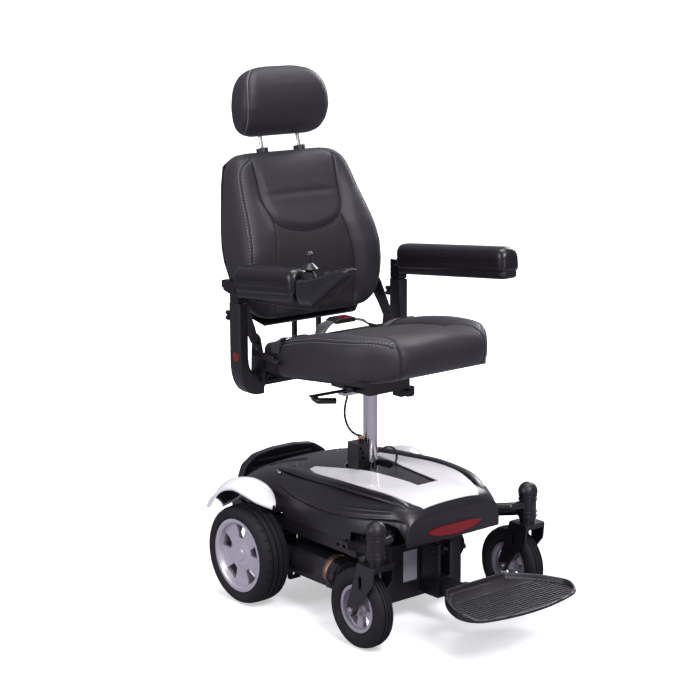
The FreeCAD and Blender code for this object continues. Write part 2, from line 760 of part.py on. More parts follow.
def rear_guard():
    """Arched shield, grooved on its front face, on two arms behind the cover."""
    arch = symmetric([(150, 206, 8), (152, 262, 20), (138, 298, 30), (100, 322, 40),
                      (40, 330, 60)])
    body = padded("Guard", "XZ", 190, 214, arch)
    for k, half in enumerate((134, 134, 128, 118, 92)):
        z = 232 + 18 * k
        pocket(body, "XZ", 186, 194, rect(-half, half, z, z + 9, 3))
    pad(body, "XZ", 130, 190, rect(-86, -62, 206, 226), rect(62, 86, 206, 226))
    node(body, "rear_guard")


def fender(tag, side):
    """Thin curved wing over the drive wheel, on a stay with a foot."""
    wires = []
    for y, points in FENDER_SECTIONS:
        top = [Vec(side * x, y, z) for x, z in points]
        bottom = [Vec(side * x, y, z - FENDER_WALL) for x, z in reversed(points)]
        wires.append(Part.Wire([spline(top), Part.makeLine(top[-1], bottom[0]),
                                spline(bottom), Part.makeLine(bottom[-1], top[0])]))
    wing = Part.makeLoft(wires, True, False)
    stay = side_box(side, 227.5, 230.5, -15, 8, 223, 330.5)
    foot = side_box(side, 215, 230.5, -15, 8, 223, 228)
    node(feature(wing.fuse(stay.fuse(foot).removeSplitter())), "fender_" + tag)


# ----------------------------------------------------------------------- seat
def seat_post():
    plate = 8
    node(fuse(rod(post_radius, post_top - 235, 0, post_y, 235),
              rod(45, plate, 0, post_y, post_top),
              block(-96, -30, post_y - 14, post_y + 14, post_top, post_top + plate)), "seat_post")


def lift_cable():
    path = [(-78, -170, 554.9), (-78, -170, 547), (-84, -170, 528), (-86, -170, 505),
            (-80, -170, 480), (-66, -170, 458), (-48, -170, 444), (-36, -171, 440),
            (GLAND_X, GLAND_Y, 438.5), (GLAND_X, GLAND_Y, 434.3)]
    node(feature(tube(path, 3.2)), "lift_cable")


PAN_HALF = 205
SWIVEL = (-88, -190)   # x, y of the swivel lever pin
LEVER_Y, LEVER_Z = 2, 660  # recline lever pin


def pan_line(y):
    """Height of the sloping seat pan at y."""
    slope = 0.0963
    return 600 + (-y - 50) * slope


def pan_profile(back, front, low, high):
    """Side outline between two heights above the pan line."""
    return [(back, pan_line(back) + low), (back, pan_line(back) + high),
            (front, pan_line(front) + high), (front, pan_line(front) + low)]


def seat_pan():
    body = padded("Pan", "YZ", -PAN_HALF, PAN_HALF, pan_profile(24, -385, -1, 12))
    # pedestal on the post
    pad(body, "XY", 563.1, 602, rect(-70, 70, -250, -90, 8))
    pad(body, "YZ", -66, 66, [(-94, 600), (-94, pan_line(-94) + 5),
                              (-246, pan_line(-246) + 5), (-246, 600)])
    for _, side in SIDES:
        pad(body, "YZ", *span(side, 199, 204), [(18, 560), (40, 560), (46, 592), (20, 600), (0, 600)])
    # ears that carry the recline pins
    y, z = recline_y.v, recline_z.v
    ear = [(-10, 582), (44, 570), (40, 660), (y + 15, z + 4, 6), (y + 2, z + 15, 8),
           (y - 14, z + 6, 8), (-10, 640)]
    for _, side in SIDES:
        pad(body, "YZ", *span(side, 198, 224), [(-2, 596), (23, 593), (23, 603), (-2, 605)])
        pad(body, "YZ", *span(side, 219, 224), ear)
        pad(body, "YZ", *span(side, 224, 230), ("circle", y, z, 6))
    # cross tube
    pad(body, "YZ", -PAN_HALF - 0.5, PAN_HALF + 0.5, ("circle", 30, 573, 12))
    node(fuse(body, rod(6, 50, *SWIVEL, 566), rod(5, 22, -245, LEVER_Y, LEVER_Z, "x")),
         "seat_pan")


def seat_cushion():
    """Side profile crossed with the plan outline, recessed over the pan."""
    half = seat_half.v
    side_profile = [(-20, 598, 6), (-412, 637, 10), (-446, 654, 14), (-462, 690, 24),
                    (-450, 728, 22), (-405, 752, 40), (-300, 750, 80), (-180, 734, 80),
                    (-60, 708, 40), (-22, 700, 8)]
    body = padded("SeatCushion", "YZ", -seat_half, seat_half, side_profile)
    plan = padded("SeatPlan", "XY", 560, 800,
                  symmetric([(-half, -10), (-half, -345, 95), (-170, -463, 60)]))
    recess = padded("PanRecess", "YZ", -PAN_HALF - 0.5, PAN_HALF + 0.5,
                    pan_profile(30, -385.5, -6, 12.5))
    node(cut(common(body, plan), recess), "seat_cushion")


def swivel_lever():
    arm = feature(bar((*SWIVEL, 573), (-205, -184, 573), 16, 5))
    boss = rod(14, 12, *SWIVEL, 570)
    grip = feature(tube([(-198, -184, 568), (-205, -210, 566), (-160, -226, 562)], 8))
    node(cut(fuse(arm, boss, grip), rod(6 + gap, 30, *SWIVEL, 560)), "swivel_lever")


def connector_box():
    box = fuse(block(44, 92, -240, -206, 541, 563), block(48, 70, -262, -240, 545, 560))
    node(round_edges(box, 1.5, lambda e: straight(e, 2)), "connector_box")


def recline_lever():
    lever = fuse(feature(bar((-240.5, LEVER_Y, LEVER_Z), (-240.5, -72, 652), 5, 18)),
                 feature(tube([(-241.5, -66, 652), (-241.5, -98, 648)], 6.5)),
                 rod(12, 5, -243, LEVER_Y, LEVER_Z, "x"))
    node(cut(lever, rod(5 + gap, 20, -252, LEVER_Y, LEVER_Z, "x")), "recline_lever")


def lap_belt():
    """Two straps lying on the rear of the cushion and turned down at its sides."""
    straps = []
    for (_, side), inner in zip(SIDES, (30, 40)):
        top = side_box(side, inner, 237, -62, -24, 711, 713.4)
        drop = side_box(side, 234.5, 237, -62, -24, 637.4, 713.4)
        straps.append(top.fuse(drop).removeSplitter())
    node(feature(Part.makeCompound(straps)), "lap_belt")


def belt_buckle():
    body = padded("Buckle", "XZ", -66, -22, [(-28, 714.4, 3), (38, 714.4, 3), (38, 727, 4),
                                             (-16, 727, 4), (-28, 721, 3)])
    x0, x1, y0, y1 = 8, 30, -56, -32  # button recess
    pocket(body, "XY", 720, 730, rect(x0, x1, y0, y1, 3))
    node(body, "belt_buckle")
    button = block(x0 + 0.3, x1 - 0.3, y0 + 0.3, y1 - 0.3, 722.5, 728.2)
    node(round_edges(button, 2.8, lambda e: straight(e, 2)), "buckle_button")


# ------------------------------------------------------ backrest and headrest
ROD_LEAN = math.radians(15)
ROD_AXIS = Vec(0, math.sin(ROD_LEAN), math.cos(ROD_LEAN))


def on_rods(radius, length, start):
    """Two cylinders on the headrest rod axes, start mm above the top of the backrest."""
    return [Part.makeCylinder(radius, length, Vec(side * rod_x.v, 196, 1141) + ROD_AXIS * start,
                              ROD_AXIS) for _, side in SIDES]


def rod_tools(radius, length, start):
    return [feature(shape) for shape in on_rods(radius, length, start)]


def back_cushion():
    """Side profile crossed with the front outline."""
    half = back_half.v
    outline = symmetric([(-150, 700, 30), (-212, 742, 40), (-half, 800, 60),
                         (-half + 1, 890, 120), (-207, 990, 200), (-197, 1060, 120),
                         (-183, 1118, 24), (-150, 1146, 40)])
    front_line = [(48, 714, 8), (32, 785, 50), (31, 890, 80), (70, 990, 120), (107, 1055, 60),
                  (138, 1114, 30), (168, 1148, 12)]
    rear_line = [(200, 1144, 12), (216, 1110, 14), (205, 1050, 60), (189, 950, 60),
                 (168, 870, 40), (140, 820, 20), (104, 742, 20), (76, 710, 6)]
    body = padded("BackCushion", "YZ", -back_half, back_half, front_line + rear_line)
    front = padded("BackFront", "XZ", 0, 260, outline)
    bores = rod_tools(8, 230, -150)
    sleeves = rod_tools(19, 60, -8)
    node(cut(common(body, front), *(bores + sleeves)), "back_cushion")


def back_frame():
    """Shell behind the cushion with hinge plates, side tabs and lower posts."""
    rear_line = [(206, 1143), (222.5, 1111), (211.5, 1051), (195.5, 950), (174.5, 868),
                 (146.5, 817), (110, 738), (80, 704)]
    front_line = [(76.2, 708), (104.6, 741.4), (140.6, 819.6), (168.6, 869.8), (189.6, 950),
                  (205.6, 1050), (216.8, 1110), (201, 1143)]
    outline = symmetric([(-146, 700, 30), (-205, 744, 40), (-214, 800, 60), (-212, 890, 120),
                         (-198, 990, 200), (-188, 1060, 120), (-174, 1114, 20),
                         (-146, 1140, 40)])
    body = padded("Shell", "YZ", -210, 210, rear_line + front_line)
    front = padded("ShellFront", "XZ", 0, 260, outline)
    y, z = recline_y.v, recline_z.v
    plate = [(y - 15, z - 6, 9), (y - 4, z - 16, 10), (y + 14, z - 12, 10), (62, 720, 40),
             (118, 792, 10), (150, 800), (158, 826), (120, 830, 10), (60, 790, 40),
             (y, z + 30, 30)]
    mounts = []
    for _, side in SIDES:
        mounts += [padded("HingePlate", "YZ", *span(side, 225.5, 230.5), plate,
                          ("circle", y, z, 6.05)),
                   block(*span(side, 205, 230.5), 144.5, 158, 806, 826),
                   block(*span(side, 36, 46), 88, 100, 652, 722)]
    node(cut(fuse(common(body, front), *mounts), *rod_tools(16.1, 24, -9)), "back_frame")


def headrest_guides():
    guides = []
    for collar, sleeve, bore in zip(on_rods(16, 20, -7.5), on_rods(7.9, 150, -149),
                                    on_rods(rod_radius.v + gap.v, 200, -160)):
        guides.append(collar.fuse(sleeve).cut(bore).removeSplitter())
    node(feature(Part.makeCompound(guides)), "headrest_guides")


def headrest():
    node(feature(Part.makeCompound(on_rods(rod_radius.v, 215, -118))), "headrest_rods")
    body = padded("HeadCushion", "YZ", -146, 146, [
        (204, 1184, 8), (168, 1206, 30), (152, 1265, 60), (160, 1325, 40), (192, 1364, 16),
        (222, 1366, 14), (238, 1320, 40), (240, 1250, 40), (236, 1194, 10)])
    front = padded("HeadFront", "XZ", 100, 300, symmetric([
        (112, 1182, 34), (146, 1222, 40), (146, 1282, 60), (120, 1348, 60), (40, 1368, 120)]))
    node(cut(common(body, front), *rod_tools(rod_radius.v, 225, -128)), "headrest_cushion")


# ------------------------------------------------------------------- armrests
COVER_OUTER = 284  # outer face of the post cover from the centre line
COVER_TOP = 790


def cover_edge(edge):
    """Edges of the front and rear faces, without the top and inner end edges."""
    box = edge.BoundBox
    inner_end = abs(box.XLength) < 1e-6 and abs(abs(edge.CenterOfMass.x) - 206) < 1
    return (abs(box.YLength) < 1e-6 and box.ZMax > 546 and not box.ZMin > COVER_TOP - 1
            and not inner_end)


def arm_cover(tag, side):
    """Moulded J-shaped cover around the post."""
    x = arm_x.v * side
    outline = [(COVER_OUTER, COVER_TOP), (COVER_OUTER, 600, 46), (240, 545, 26), (206, 545),
               (206, 597), (238, 597, 18), (256, 628, 40), (256, COVER_TOP)]
    body = padded("ArmCover", "XZ", 8, 52, outline if side > 0 else mirrored(outline))
    fillet(body, 6, cover_edge)
    pocket(body, "XY", 640, COVER_TOP, rect(x - 8, x + 8, 18, 42))
    node(cut(body, block(*span(side, 198, 224.1), -4, 46.5, 569.5, 612)), "arm_cover_" + tag)


def arm_post(tag, side):
    """Inner post with clevis cheeks and pivot pin."""
    x = arm_x.v * side
    node(fuse(block(x - 7.95, x + 7.95, 18.05, 41.95, 648, 806),
              block(x - 14, x + 14, 12, 48, 791, 800),
              block(x - 14, x - 8.1, 12, 48, 799, 842), block(x + 8.1, x + 14, 12, 48, 799, 842),
              rod(5, 34, x - 17, flip_y, flip_z, "x"), rod(8, 3, x - 17, flip_y, flip_z, "x"),
              rod(8, 3, x + 14, flip_y, flip_z, "x")), "arm_post_" + tag)


def arm_rest(tag, side):
    """Tongue, moulded cover and pad, drawn level about the pivot."""
    half = arm_width / 2
    back = -30
    front = back - arm_length[tag].v
    bottom = -19
    top = bottom + arm_height.v
    body = padded("ArmRest", "YZ", -half, half, [
        (back, bottom, 5), (back, top, 10), (front + 2, top, 20), (front, 30, 14),
        (front + 4, bottom, 8)])
    fillet(body, 4.5, lambda e: e.BoundBox.XLength < 1e-6)
    pocket(body, "XZ", front - 6, front + 22, rect(-16, 16, -12, 8, 2))
    # tongue with the pivot hole
    pad(body, "YZ", -7.9, 7.9, [(-34, -14), (-34, 14), (4, 14, 10), (14, 8, 6), (14, -8, 6),
                                (4, -14, 10)])
    pocket(body, "YZ", -8, 8, ("circle", 0, 0, 5.05))
    # groove along each side
    groove = rect(front + 22, -34, 27, 29)
    pocket(body, "YZ", -half - 2, -half + 1.2, groove)
    pocket(body, "YZ", half - 1.2, half + 2, groove)
    node(body, "arm_rest_" + tag, arm_x * side, flip_y, flip_z,
         Rotation(Vec(1, 0, 0), -arm_tilt.v))


def arm_knob(tag, side):
    """Star knob on the back of the cover."""
    x, y, z = arm_x.v * side, 60, 752
    back = Vec(0, 1, 0)
    shape = Part.makeCylinder(4, 20, Vec(x, 52.2, z), back)
    shape = shape.fuse(Part.makeCylinder(9, 11, Vec(x, y, z), back))
    for k in range(4):
        angle = math.radians(45 + 90 * k)
        lobe = Vec(x + 10 * math.cos(angle), y, z + 10 * math.sin(angle))
        shape = shape.fuse(Part.makeCylinder(6, 11, lobe, back))
    node(feature(shape.removeSplitter()), "arm_knob_" + tag)


def side_reflectors():
    face = COVER_OUTER + 0.05
    disks = [rod(12.5, 3, x, 22, 650, "x") for x in (-face - 3, face)]
    node(fuse(*disks), "side_reflectors")


# ------------------------------------------------------------------- joystick
POD_X = -arm_x.v
POD_HALF = 35
PANEL_NORMAL = Vec(0, 0.284, 0.9588)       # of the sloping top of the pod
KNOB_CENTRE = Vec(POD_X, -332, 907.4)
KEY_CENTRE = Vec(POD_X, -364, 919.8)


def tilted(radius, length, centre, start):
    """Cylinder square to the pod panel, from start above centre."""
    return Part.makeCylinder(radius, length, centre + PANEL_NORMAL * start, PANEL_NORMAL)


def joystick_pod():
    """Side profile crossed with the plan outline, bored for the controls."""
    body = padded("Pod", "YZ", POD_X - POD_HALF, POD_X + POD_HALF, [
        (-244, 822, 10), (-300, 826, 30), (-404, 912, 10), (-424, 920, 6), (-421, 934, 6),
        (-404, 936, 10), (-300, 896, 40), (-246, 890, 12)])
    plan = [(-POD_HALF, -244, 12), (POD_HALF, -244, 12), (POD_HALF, -300, 40), (15, -426, 8),
            (-15, -426, 8), (-POD_HALF, -300, 40)]
    limit = padded("PodPlan", "XY", 780, 980, [(POD_X + x, y, r) for x, y, r in plan])
    well = rod(19, 60, POD_X, stick_y, 876)
    node(cut(common(body, limit), well, feature(tilted(4.05, 30, KNOB_CENTRE, -14)),
             feature(tilted(10.4, 20, KNOB_CENTRE, 0.7)),
             feature(tilted(5.6, 30, KEY_CENTRE, -8)),
             rod(2.05, 46, POD_X - 23, stick_y, stick_z, "x")), "joystick_pod")


def joystick():
    """Gimbal ring with two side pins, then the stick that pivots in it."""
    gimbal = cut(rod(13, 6, POD_X, stick_y, stick_z - 3), rod(8, 20, POD_X, stick_y, stick_z - 10))
    gimbal = fuse(gimbal, rod(2, 13, POD_X - 22, stick_y, stick_z, "x"),
                  rod(2, 13, POD_X + 9, stick_y, stick_z, "x"))
    node(cut(gimbal, rod(2.05, 40, POD_X, stick_y - 20, stick_z, "y")), "joystick_gimbal")
    node(fuse(ball(6.5, POD_X, stick_y, stick_z), rod(2, 19, POD_X, stick_y - 9.5, stick_z, "y"),
              rod(4, 40, POD_X, stick_y, stick_z),
              cone(22, 9, 13, POD_X, stick_y, stick_z + 22),
              cone(20, 22, 3, POD_X, stick_y, stick_z + 19.5),
              cone(7, 9.5, 20, POD_X, stick_y, stick_z + 34),
              ball(9.5, POD_X, stick_y, stick_z + 55)), "joystick_stick")


def pod_controls():
    knob = tilted(4, 12, KNOB_CENTRE, -10).fuse(tilted(10, 7, KNOB_CENTRE, 1.2))
    node(feature(knob.removeSplitter()), "speed_knob")
    node(feature(tilted(5.5, 6, KEY_CENTRE, -3)), "power_key")


# ------------------------------------------------------------------- footrest
def footrest_bracket():
    """Back plate, top plate, two cheeks and two shelves, with a cross hole."""
    half = 24
    node(cut(fuse(block(-half, half, -404, -392.1, 78, 214),
                  block(-half, half, -440, -404, 176, 214),
                  block(-half, -16, -460, -404, 74, 214), block(16, half, -460, -404, 74, 214),
                  block(-half, half, -460, -404, 74, 80),
                  block(-half, half, -460, -404, 120, 126)),
             rod(6, 60, -30, -444, 190, "x")), "footrest_bracket")


def footrest_slider():
    """Hollow bar that carries the hinge pin."""
    half = 15.9
    node(cut(fuse(block(-half, half, -545, -410, 80.1, 119.9),
                  block(-half, half, -556, -520, 100, 126),
                  rod(9, 124, -62, hinge_y, hinge_z, "x")),
             block(-12, 12, -530, -405, 86, 114)), "footrest_slider")


def footplate():
    """Rimmed plate with nine ribs and two hinge lugs."""
    half = foot_half.v
    floor = 132.8
    body = padded("FootPlate", "XY", 126, 146, [
        (-98, -566, 8), (98, -566, 8), (half, -690, 10), (172, -748, 20), (100, -782, 60),
        (0, -792, 90), (-100, -782, 60), (-172, -748, 20), (-half, -690, 10)])
    pocket(body, "XY", floor, 146, [
        (-92, -572, 5), (92, -572, 5), (half - 7, -691, 6), (160, -752), (150, -820),
        (-150, -820), (-160, -752), (-half + 7, -691, 6)])
    for k, rib_half in enumerate((150, 158, 164, 160, 156, 150, 136, 110, 82)):
        y = -652 - 13 * k
        pad(body, "XY", floor, 134.6, rect(-rib_half, rib_half, y - 4, y, 1))
    lug = [(-604, 127), (-604, 129), (-566, 130.5), (-552, 129, 3), (-544.5, 122, 3),
           (-544.5, 113, 3), (-551, 106.5, 3), (-561, 106.5, 3), (-568, 114, 4)]
    lugs = [padded("FootLug", "YZ", *span(side, 30, 60), lug) for _, side in SIDES]
    node(cut(fuse(body, *lugs), rod(9.05, 140, -70, hinge_y, hinge_z, "x")), "footplate")


# -------------------------------------------------------- build, check, export
def each_side(*builders):
    for tag, side in SIDES:
        for build in builders:
            build(tag, side)


def build_all(*builders):
    for build in builders:
        build()


def check():
    """Stop on any failed object or any piece without a valid solid."""
    problems = []
    for o in doc.Objects:
        state = getattr(o, "State", [])
        if "Invalid" in state or "Error" in state:
            problems.append("%s (%s) %s" % (o.Name, o.Label, state))
    for label, o in nodes.items():
        if o.Shape.isNull() or not o.Shape.isValid() or not o.Shape.Solids:
            problems.append("%s has no valid solid" % label)
    if problems:
        raise RuntimeError("; ".join(problems))


each_side(drive_tyre, drive_rim)
each_side(caster_tyre, caster_rim_wheel, caster_fork, caster_axle)
each_side(caster_arm)
build_all(caster_caps, chassis_frame, battery_box, batteries)
each_side(drive_unit)
build_all(lift_column, lift_block, body_cover, front_reflector, rear_guard)
each_side(fender)
build_all(seat_post, lift_cable, seat_pan, seat_cushion, swivel_lever, connector_box,
          recline_lever, lap_belt, belt_buckle, back_cushion, back_frame, headrest_guides,
          headrest)
each_side(arm_cover, arm_post, arm_rest, arm_knob)
build_all(side_reflectors, joystick_pod, joystick, pod_controls, footrest_bracket,
          footrest_slider, footplate)

doc.recompute()
check()
os.makedirs("parts", exist_ok=True)
for label, o in nodes.items():
    o.Shape.exportStep(os.path.join("parts", label + ".step"))
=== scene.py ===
"""Power wheelchair with padded seat, joystick and white fenders.

Metres. z is up from the floor, the chair faces -y, and its right side (R) is at -x.
Places are given with y measured from the drive axle; from_axle() brings them into the frame.
"""

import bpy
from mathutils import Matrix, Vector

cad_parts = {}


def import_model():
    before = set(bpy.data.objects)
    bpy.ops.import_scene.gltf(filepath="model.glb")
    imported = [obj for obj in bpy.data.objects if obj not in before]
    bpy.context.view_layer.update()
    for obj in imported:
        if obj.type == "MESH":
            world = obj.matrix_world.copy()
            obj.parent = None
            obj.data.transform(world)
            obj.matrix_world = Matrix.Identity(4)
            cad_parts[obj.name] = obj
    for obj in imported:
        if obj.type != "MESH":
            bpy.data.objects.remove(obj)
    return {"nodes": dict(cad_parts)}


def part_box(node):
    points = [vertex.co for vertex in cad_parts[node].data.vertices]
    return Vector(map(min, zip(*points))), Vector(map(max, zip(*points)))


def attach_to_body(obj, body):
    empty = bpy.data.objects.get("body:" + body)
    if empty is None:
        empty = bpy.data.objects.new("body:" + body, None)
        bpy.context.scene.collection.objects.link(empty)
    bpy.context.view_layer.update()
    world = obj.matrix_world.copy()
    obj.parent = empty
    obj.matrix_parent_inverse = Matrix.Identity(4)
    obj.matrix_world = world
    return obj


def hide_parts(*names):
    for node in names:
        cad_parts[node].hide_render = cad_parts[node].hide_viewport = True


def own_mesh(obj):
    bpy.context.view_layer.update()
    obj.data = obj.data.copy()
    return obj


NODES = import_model()["nodes"]

import math

import bpy
import numpy as np
from mathutils import Matrix, Vector
from mathutils.bvhtree import BVHTree
from mathutils.geometry import tessellate_polygon
from mathutils.kdtree import KDTree

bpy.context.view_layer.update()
scene = bpy.context.scene
rim_lo, rim_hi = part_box("rear_rim_R")
AXLE_Y = (rim_lo.y + rim_hi.y) / 2
SIDES = (("R", -1), ("L", 1))
MATERIALS = {}


def from_axle(x, y, z):
    return (x, y + AXLE_Y, z)


def axle_line(points):
    return np.asarray(points, float) + (0, AXLE_Y, 0)


# ============================================================== shader tools
def add_node(tree, kind, inputs=None, **properties):
    """Adds a node; inputs maps its sockets to values or to the sockets that feed them."""
    node = tree.nodes.new(kind)
    for key, value in properties.items():
        setattr(node, key, value)
    for key, value in (inputs or {}).items():
        socket = node.inputs[key]
        if isinstance(value, bpy.types.NodeSocket):
            tree.links.new(value, socket)
        elif socket.type == "RGBA" and len(value) == 3:
            socket.default_value = (*value, 1)
        else:
            socket.default_value = value
    return node


class Shader:
    """A material being built; most methods add a node and return its output socket."""

    def __init__(self, name):
        self.material = MATERIALS[name] = bpy.data.materials.new(name)
        self.material.use_nodes = True
        self.tree = self.material.node_tree
        self.tree.nodes.clear()
        self.output = self.add("ShaderNodeOutputMaterial").inputs[0]
        self.coords = self.add("ShaderNodeTexCoord").outputs["Object"]

    def add(self, kind, inputs=None, **properties):
        return add_node(self.tree, kind, inputs, **properties)

    def math(self, operation, a, b=0.0, clamp=False):
        return self.add("ShaderNodeMath", {0: a, 1: b, 2: 0.0},
                        operation=operation, use_clamp=clamp).outputs[0]

    def invert(self, value):
        return self.math("SUBTRACT", 1.0, value)

    def plus(self, base, value, times, clamp=False):
        """base + value * times"""
        return self.math("ADD", base, self.math("MULTIPLY", value, times), clamp=clamp)

    def remap(self, value, low, high, to_low=0.0, to_high=1.0, smooth=False):
        return self.add("ShaderNodeMapRange", {0: value, 1: low, 2: high, 3: to_low, 4: to_high},
                        interpolation_type="SMOOTHSTEP" if smooth else "LINEAR").outputs[0]

    def mix(self, factor, a, b):
        return self.add("ShaderNodeMix", {0: factor, 6: a, 7: b}, data_type="RGBA").outputs[2]

    def mix_value(self, factor, a, b):
        return self.add("ShaderNodeMix", {0: factor, 2: a, 3: b}, data_type="FLOAT").outputs[0]

    def drift(self, value, a, b):
        """Colour moving from a to b over the middle range of a noise."""
        return self.mix(self.remap(value, low=0.3, high=0.7), a, b)

    def scaled_coords(self, scale):
        return self.add("ShaderNodeMapping", {"Vector": self.coords, "Scale": scale}).outputs[0]

    def noise(self, scale, detail=3, rough=0.5, coords=None):
        return self.add("ShaderNodeTexNoise", {
            "Vector": coords or self.coords, "Scale": scale, "Detail": detail,
            "Roughness": rough}).outputs["Fac"]

    def voronoi(self, scale, feature="DISTANCE_TO_EDGE", coords=None, randomness=1.0):
        return self.add("ShaderNodeTexVoronoi", {
            "Vector": coords or self.coords, "Scale": scale,
            "Randomness": randomness}, feature=feature).outputs["Distance"]

    def bump(self, height, strength, distance, normal=None):
        inputs = {"Height": height, "Strength": strength, "Distance": distance}
        if normal is not None:
            inputs["Normal"] = normal
        return self.add("ShaderNodeBump", inputs).outputs[0]

    def bevel(self, radius):
        return self.add("ShaderNodeBevel", {"Radius": radius}, samples=4).outputs[0]

    def edge_mask(self, bevel):
        """1 where the bevelled normal leaves the true one, so along sharp edges."""
        normal = self.add("ShaderNodeNewGeometry").outputs["Normal"]
        dot = self.add("ShaderNodeVectorMath", {0: bevel, 1: normal}, operation="DOT_PRODUCT")
        return self.remap(self.invert(dot.outputs["Value"]), low=0.02, high=0.25)

    def principled(self, color, rough, normal=None, metal=0.0, coat=0.0, coat_rough=0.1,
                   spec=0.5, sheen=0.0):
        inputs = {"Base Color": color, "Roughness": rough, "Metallic": metal,
                  "Specular IOR Level": spec, "Coat Weight": coat, "Coat Roughness": coat_rough,
                  "Sheen Weight": sheen, "Sheen Roughness": 0.5}
        if normal is not None:
            inputs["Normal"] = normal
        return self.add("ShaderNodeBsdfPrincipled", inputs).outputs[0]

    def finish(self, *arguments, **named):
        self.tree.links.new(self.principled(*arguments, **named), self.output)


def tint(color, factor):
    return tuple(min(1.0, channel * factor) for channel in color)


# ============================================================== materials
def hard_surface(name, color, rough, grain, relief, kind="noise", metal=0.0, variation=0.14,
                 edge=None, coat=0.0, coat_rough=0.1):
    """Plastic, paint or metal with grain, colour drift, worn edges and softened corners.

    grain is the texture scale, relief its bump strength, and edge the worn colour with its
    amount as a fourth value.
    """
    t = Shader(name)
    color_out = t.drift(t.noise(scale=9, detail=4, rough=0.6),
                        tint(color, 1 - variation), tint(color, 1 + variation))
    rough_out = t.plus(rough - 0.05, t.noise(scale=63, detail=4, rough=0.65), times=0.10,
                       clamp=True)
    if kind == "noise":
        height = t.noise(grain, detail=3, rough=0.6)
    elif kind == "pebble":
        height = t.remap(t.voronoi(grain), low=0.0, high=0.35)
    elif kind == "brushed":
        height = t.noise(grain, detail=2, rough=0.6, coords=t.scaled_coords((0.03, 1, 1)))
    elif kind == "cast":
        height = t.plus(t.noise(grain, detail=3, rough=0.7),
                        t.noise(grain * 0.2, detail=2, rough=0.5), times=0.6)
    bevel = t.bevel(radius=0.0011)
    if edge is not None:
        patches = t.remap(t.noise(scale=60, detail=4, rough=0.7), low=0.42, high=0.62)
        worn = t.math("MULTIPLY", t.edge_mask(bevel), patches)
        color_out = t.mix(t.math("MULTIPLY", worn, edge[3]), color_out, edge[:3])
        rough_out = t.plus(rough_out, worn, times=0.08)
    normal = t.bump(height, strength=relief, distance=0.0002, normal=bevel)
    t.finish(color_out, rough_out, normal, metal, coat, coat_rough)


def hard_surfaces():
    hard_surface("black_plastic", (0.0085, 0.0070, 0.0105), rough=0.38, kind="pebble",
                 grain=1500, relief=0.35, edge=(0.06, 0.057, 0.066, 0.4))
    hard_surface("shroud_plastic", (0.0115, 0.0096, 0.0145), rough=0.31, kind="pebble",
                 grain=1300, relief=0.22, variation=0.08, edge=(0.07, 0.065, 0.078, 0.4))
    hard_surface("black_paint", (0.0068, 0.0058, 0.0084), rough=0.30, kind="cast", grain=700,
                 relief=0.30, edge=(0.08, 0.078, 0.086, 0.45), coat=0.12, coat_rough=0.3)
    hard_surface("motor_paint", (0.011, 0.010, 0.0125), rough=0.26, kind="cast", grain=500,
                 relief=0.25, edge=(0.09, 0.086, 0.092, 0.5), coat=0.2)
    hard_surface("white_gloss", (0.93, 0.925, 0.945), rough=0.16, grain=260, relief=0.03,
                 variation=0.02, coat=0.6, coat_rough=0.05)
    hard_surface("battery_grey", (0.36, 0.35, 0.41), rough=0.42, kind="pebble", grain=900,
                 relief=0.2, variation=0.06)
    hard_surface("pad_pu", (0.0078, 0.0066, 0.0096), rough=0.30, kind="pebble", grain=1100,
                 relief=0.14, variation=0.10)
    hard_surface("pod_plastic", (0.0105, 0.0090, 0.0130), rough=0.26, kind="pebble",
                 grain=1700, relief=0.18, edge=(0.07, 0.066, 0.078, 0.35))
    hard_surface("steel", (0.46, 0.45, 0.48), rough=0.32, kind="brushed", metal=1.0,
                 grain=500, relief=0.12, variation=0.1)
    hard_surface("brass", (0.70, 0.47, 0.18), rough=0.28, kind="cast", metal=1.0, grain=400,
                 relief=0.1, variation=0.15)
    hard_surface("copper", (0.26, 0.17, 0.13), rough=0.42, kind="cast", metal=0.8, grain=400,
                 relief=0.12, variation=0.2)
    hard_surface("cable", (0.014, 0.013, 0.016), rough=0.42, kind="cast", grain=600,
                 relief=0.15)
    # spare wire colours, on no piece yet
    hard_surface("red_wire", (0.45, 0.02, 0.02), rough=0.4, grain=600, relief=0.1)
    hard_surface("grey_wire", (0.35, 0.34, 0.36), rough=0.4, grain=600, relief=0.1)


def chrome():
    t = Shader("chrome")
    color = t.drift(t.noise(scale=5, detail=3, rough=0.5), (0.60, 0.58, 0.63), (0.72, 0.70, 0.75))
    rough = t.plus(0.06, t.noise(scale=60, detail=4, rough=0.7), times=0.10)
    height = t.noise(scale=900, detail=2, rough=0.6, coords=t.scaled_coords((1, 1, 0.02)))
    normal = t.bump(height, strength=0.05, distance=0.0001, normal=t.bevel(radius=0.0008))
    t.finish(color, rough, normal, metal=1.0)


def silver(name, color, rough):
    """Silver lacquer on a cast wheel: metal flake under a clear coat, painted shade in the
    corners.
    """
    t = Shader(name)
    flake = t.remap(t.voronoi(scale=2600, feature="F1"), low=0.0, high=0.6)
    lacquer = t.mix(flake, tint(color, 1.12), tint(color, 0.86))
    # painted shade: the lacquer turns darker where ambient occlusion finds nearby surfaces
    occlusion = t.add("ShaderNodeAmbientOcclusion", {"Distance": 0.012}, samples=4)
    unshaded = t.remap(occlusion.outputs["AO"], low=0.25, high=0.85)
    lacquer = t.mix(unshaded, tint(color, 0.35), lacquer)
    rough_out = t.plus(rough - 0.05, t.noise(scale=40, detail=4, rough=0.6), times=0.12)
    normal = t.bump(t.noise(scale=800, detail=2, rough=0.5), strength=0.06, distance=0.0002,
                    normal=t.bevel(radius=0.0016))
    t.finish(lacquer, rough_out, normal, metal=0.55, coat=0.35, coat_rough=0.12)


